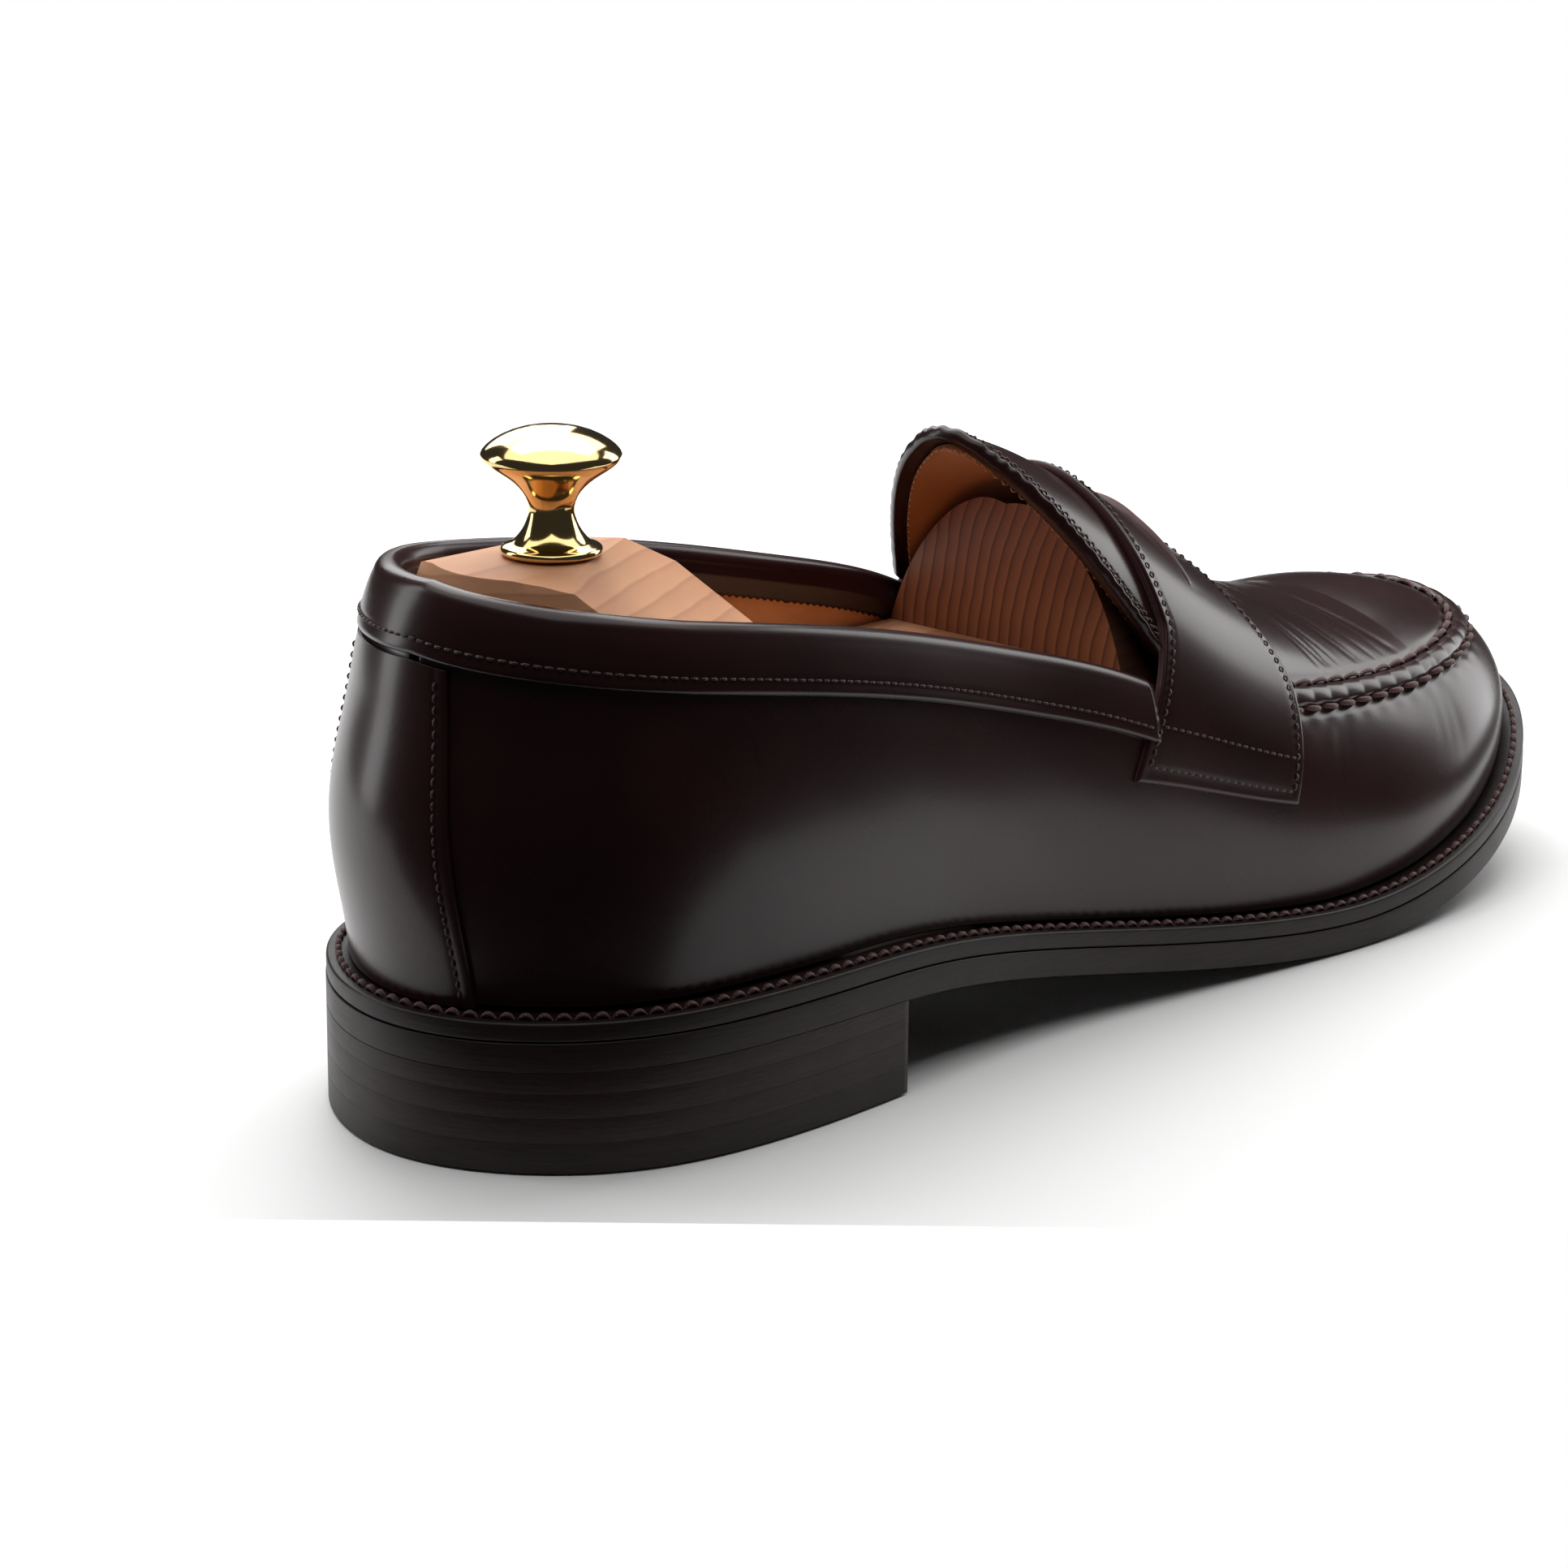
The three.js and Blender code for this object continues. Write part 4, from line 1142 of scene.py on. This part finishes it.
# ------------------------------------------------------------------ shoe tree
LINING_DEPTH = -LINING_OUT + 1.0
INSOLE_GAP, INSOLE, ABOVE_INSOLE = 0.35, 2, 2.2
SHELF_TOP, SHELF_END, BLOCK_TOP, BLOCK_FRONT = 60.0, -45.0, 94.5, -72.0


def block_floor(x):
    return under(x) + EDGE + INSOLE_GAP + INSOLE + ABOVE_INSOLE


def inside_shape(clearance, crown):
    """The inside of the shoe as a closed bmesh, in millimetres before the frame's shift."""
    loop = np.linspace(-LAST, LAST, 401)[:-1]
    angle = np.linspace(10, 90, 41)
    gl, ga = np.meshgrid(loop, angle, indexing="ij")
    upright = ease((ga - 50) / 35)[..., None]
    inward = unit(mix(skin_normal(gl, ga), np.array([0.0, 0.0, 1.0]), upright))
    points = skin(gl, ga) - inward * (LINING_DEPTH + clearance)
    points[..., 2] -= crown * ((ga - 10) / 80) ** 3
    points[:, 0, 2] = block_floor(points[:, 0, 0])
    middle = points[:, -1].copy()
    middle[:, 2] = block_floor(middle[:, 0])
    columns = np.concatenate([middle[:, None], points], axis=1)
    n, m = columns.shape[:2]
    bm = bmesh.new()
    verts = [bm.verts.new(p) for p in columns.reshape(-1, 3)]
    for i in range(n):
        k = (i + 1) % n
        for j in range(m - 1):
            try:
                bm.faces.new([verts[i * m + j], verts[k * m + j], verts[k * m + j + 1], verts[i * m + j + 1]])
            except ValueError:
                pass
    bmesh.ops.remove_doubles(bm, verts=bm.verts, dist=0.002)
    bmesh.ops.dissolve_degenerate(bm, edges=bm.edges, dist=1e-4)
    bmesh.ops.recalc_face_normals(bm, faces=bm.faces)
    return bm


def slice_off(bm, point, normal):
    """Cuts away what lies on the side that normal points to, and closes the cut."""
    geometry = bm.verts[:] + bm.edges[:] + bm.faces[:]
    plane = {"plane_co": point, "plane_no": normal}
    cut = bmesh.ops.bisect_plane(bm, geom=geometry, dist=1e-4, clear_outer=True, **plane)
    edges = [g for g in cut["geom_cut"] if isinstance(g, bmesh.types.BMEdge)]
    bmesh.ops.contextual_create(bm, geom=edges)


def soften(bm, width, angle=0.5):
    edges = [e for e in bm.edges if len(e.link_faces) == 2 and e.calc_face_angle(0) > angle]
    bmesh.ops.bevel(bm, geom=edges, offset=width, segments=3, profile=0.5, affect="EDGES", clamp_overlap=True)


def finish_solid(bm, name, materials, body, choose=None):
    for v in bm.verts:
        v.co = (v.co + Vector(SHIFT)) * MM
    bmesh.ops.recalc_face_normals(bm, faces=bm.faces)
    bm.normal_update()
    mesh = bpy.data.meshes.new(name)
    for face in bm.faces:
        face.smooth = True
        if choose is not None:
            face.material_index = choose(face)
    bm.to_mesh(mesh)
    bm.free()
    for material in materials:
        mesh.materials.append(material)
    mesh.set_sharp_from_angle(angle=math.radians(35))
    obj = add_to_scene(name, mesh)
    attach(obj, body)
    return obj


def forepart_side(face):
    """Index of the material: 0 on the shelf's top, 1 on the end grain, 2 on the flanks, which take cedar
    darkened far below its own colour as painted shade.
    """
    if face.normal.x < -0.8:
        return 1
    return 0 if face.normal.z > 0.95 and face.calc_center_median().x < 0.002 else 2


front = inside_shape(0.7, 5.0)
slice_off(front, (118, 0, 0), (1, 0, 0))
slice_off(front, (0, 0, 0), (-1, 0, 0))
soften(front, 0.5)
shelf = inside_shape(0.7, 5.0)
slice_off(shelf, (0.4, 0, 0), (1, 0, 0))
slice_off(shelf, (SHELF_END, 0, 0), (-1, 0, 0))
slice_off(shelf, (0, 0, SHELF_TOP), (0, 0, 1))
soften(shelf, 0.6)
joined = bpy.data.meshes.new("shelf_part")
shelf.to_mesh(joined)
shelf.free()
front.from_mesh(joined)
# The flanks take the darkened cedar, which paints the shade between the tree's face and the tongue.
FOREPART_LOOKS = [CEDAR, CEDAR_END, CEDAR_PAINTED_SHADE]
forepart = finish_solid(front, "tree_forepart_wood", FOREPART_LOOKS, "shoe", forepart_side)
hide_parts("tree_forepart")

# The heel block: its bottom, front and top, the slope in front and the two facets of its top corner,
# then its long edges in steps round a circle.
BLOCK_CUTS = [
    ((0, 0, 34), (0, 0, -1)),
    ((BLOCK_FRONT, 0, 0), (1, 0, 0)),
    ((0, 0, BLOCK_TOP), (0, 0, 1)),
    ((-85, -1, 89.2), (0.777, 0, 0.629)),
    ((-109, -8, 93.4), (9.1, -16.8, 24)),
    ((-99.5, 6.5, 94.5), (9.7, 7.9, 15.4)),
]
BLOCK_ROUNDING = 60
block = inside_shape(1.8, 0.0)
for point, normal in BLOCK_CUTS:
    slice_off(block, point, normal)
for lean in np.radians([9, 17, 25, 33]):
    for side in (-1, 1):
        sideways = side * math.sin(lean)
        height = BLOCK_TOP + 0.7 - BLOCK_ROUNDING + BLOCK_ROUNDING * math.cos(lean)
        slice_off(block, (0, BLOCK_ROUNDING * sideways, height), (0, sideways, math.cos(lean)))
soften(block, 1.3, 0.1)
heel_block = finish_solid(block, "tree_heel_wood", [CEDAR], "tree_heel")
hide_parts("tree_heel_block")

# The hole in the heel block that the tube slides into.
TUBE_HEIGHT, HOLE_RADIUS, HOLE_START, HOLE_END = 46.0, 6.6, -88.0, -60.0


def drill(wood, radius, start, end, height):
    """Cuts a round hole along X into a solid."""
    size = (radius * MM, radius * MM, (end - start) * MM, 1)
    place = Matrix.Translation(Vector(metres(((start + end) / 2, 0, height))))
    place = place @ Matrix.Rotation(math.pi / 2, 4, "Y") @ Matrix.Diagonal(size)
    bm = bmesh.new()
    bmesh.ops.create_cone(bm, cap_ends=True, segments=48, radius1=1, radius2=1, depth=1, matrix=place)
    mesh = bpy.data.meshes.new("drill")
    bm.to_mesh(mesh)
    bm.free()
    mesh.materials.append(wood.data.materials[0])
    bit = add_to_scene("drill", mesh)
    hole = wood.modifiers.new("hole", "BOOLEAN")
    hole.operation = "DIFFERENCE"
    hole.solver = "EXACT"
    hole.object = bit
    bpy.context.view_layer.update()
    cut = wood.evaluated_get(bpy.context.evaluated_depsgraph_get())
    drilled = bpy.data.meshes.new_from_object(cut)
    wood.modifiers.clear()
    wood.data = drilled
    bpy.data.objects.remove(bit)


drill(heel_block, HOLE_RADIUS, HOLE_START, HOLE_END, TUBE_HEIGHT)

KNOB_X = -113.0
# Radius and height up the knob: its foot, its waist and its head.
PROFILE = [
    (0, 94.8), (8.2, 94.8), (8.5, 95.1), (8.55, 95.8), (8.2, 96.3), (6.9, 96.6), (6.2, 97.2),
    (5.0, 98.6), (4.2, 100.2), (3.75, 102), (4.0, 103.8), (5.0, 105.6), (7.0, 107.4), (9.4, 108.9),
    (11.2, 110.2), (11.85, 111.2), (11.6, 112.1), (10.2, 113.5), (7.4, 115.1), (3.8, 116.1), (0, 116.3),
]


def turned(name, profile, x, sides, material, body):
    """A solid of revolution about an upright axis at x."""
    verts = []
    for r, z in profile[1:-1]:
        for k in range(sides):
            w = 2 * math.pi * k / sides
            verts.append((x + r * math.cos(w), r * math.sin(w), z))
    rows = len(profile) - 2
    faces = tube_faces(rows, sides)
    verts.append((x, 0, profile[0][1]))
    verts.append((x, 0, profile[-1][1]))
    for k in range(sides):
        q = (k + 1) % sides
        faces.append((len(verts) - 2, q, k))
        faces.append((len(verts) - 1, (rows - 1) * sides + k, (rows - 1) * sides + q))
    return new_object(name, metres(verts), faces, material, body)


knob = turned("tree_knob_turned", PROFILE, KNOB_X, 96, BRASS, "tree_heel")
smooth = knob.modifiers.new("smooth", "SUBSURF")
smooth.levels = 1
smooth.render_levels = 1
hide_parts("tree_knob")

# ------------------------------------------------------------------ stage, camera and light
YAW, PITCH, ROLL = 0.760, -0.279, 0.010
CAMERA_AT = (-567.0, -485.0, 245.5)
LENS = 94.3
level = Vector((math.cos(YAW), math.sin(YAW), 0))
across_view = Vector((math.sin(YAW), -math.cos(YAW), 0))


def stage_floor():
    """A small sheet of pale paper, laid out along the view, so that the shoe's side reflects little of it."""
    mesh = bpy.data.meshes.new("floor")
    corners = [(-0.14, -0.5), (0.6, -0.5), (0.6, 0.19), (-0.14, 0.19)]
    verts = [level * ahead + across_view * side + Vector((0, 0, -0.0004)) for ahead, side in corners]
    mesh.from_pydata(verts, [], [(0, 1, 2, 3)])
    obj = add_to_scene("floor", mesh)
    material, tree, shader = nodes_of("floor_paper")
    cloud = noise(tree, object_coordinates(tree), 3.0)
    paint(tree, shader, cloud, [(0.0, (0.86, 0.86, 0.855)), (1.0, (0.9, 0.9, 0.895))])
    set_inputs(shader, {"Roughness": 0.55})
    mesh.materials.append(material)


stage_floor()

camera_data = bpy.data.cameras.new("camera")
camera = add_to_scene("camera", camera_data)
camera_data.sensor_width = 36.0
camera_data.lens = LENS
camera_data.clip_start = 0.01
forward = level * math.cos(PITCH) + Vector((0, 0, math.sin(PITCH)))
above = across_view.cross(forward)
right = across_view * math.cos(ROLL) + above * math.sin(ROLL)
above = above * math.cos(ROLL) - across_view * math.sin(ROLL)
place = Matrix((right, above, -forward)).transposed().to_4x4()
place.translation = Vector(metres(CAMERA_AT))
camera.matrix_world = place
bpy.context.scene.camera = camera


def area_light(name, location, target, width, height, power):
    """A white rectangle of light. Metres and watts."""
    data = bpy.data.lights.new(name, "AREA")
    data.energy = power
    data.shape = "RECTANGLE"
    data.size = width
    data.size_y = height
    light = add_to_scene(name, data)
    light.location = location
    aim = Vector(target) - Vector(location)
    light.rotation_euler = aim.to_track_quat("-Z", "Y").to_euler()


area_light("top_soft", (0.1, 0.15, 1.3), (0.1, 0.15, 0), 2.0, 2.0, 20)
area_light("back_soft", (0.55, 0.6, 1.2), (0.2, 0.2, 0), 1.5, 1.2, 15)
area_light("toe_strip", (0.75, -0.12, 0.3), (0.12, 0, 0.05), 0.35, 0.7, 2.4)
area_light("heel_strip", (-0.5, 0.75, 0.3), (-0.13, 0, 0.06), 0.25, 0.7, 1.6)
card = level * 0.5 - across_view * 0.22 + Vector((0, 0, 0.37))
area_light("knob_card", card, (-0.113, 0, 0.115), 0.36, 0.3, 0.9)

# The camera sees a white background, and the shoe is lit and reflected by a much dimmer one.
world = bpy.data.worlds.new("studio")
bpy.context.scene.world = world
world.use_nodes = True
wt = world.node_tree
backdrop = wt.nodes["Background"]
set_inputs(backdrop, {"Color": (1, 1, 1, 1), "Strength": 1.0})
dim = wt.nodes.new("ShaderNodeBackground")
set_inputs(dim, {"Color": (1, 1, 1, 1), "Strength": 0.03})
seen = wt.nodes.new("ShaderNodeLightPath")
choose = wt.nodes.new("ShaderNodeMixShader")
wt.links.new(seen.outputs["Is Camera Ray"], choose.inputs["Fac"])
wt.links.new(dim.outputs["Background"], choose.inputs[1])
wt.links.new(backdrop.outputs["Background"], choose.inputs[2])
wt.links.new(choose.outputs["Shader"], wt.nodes["World Output"].inputs["Surface"])
bpy.context.scene.view_settings.view_transform = "Standard"
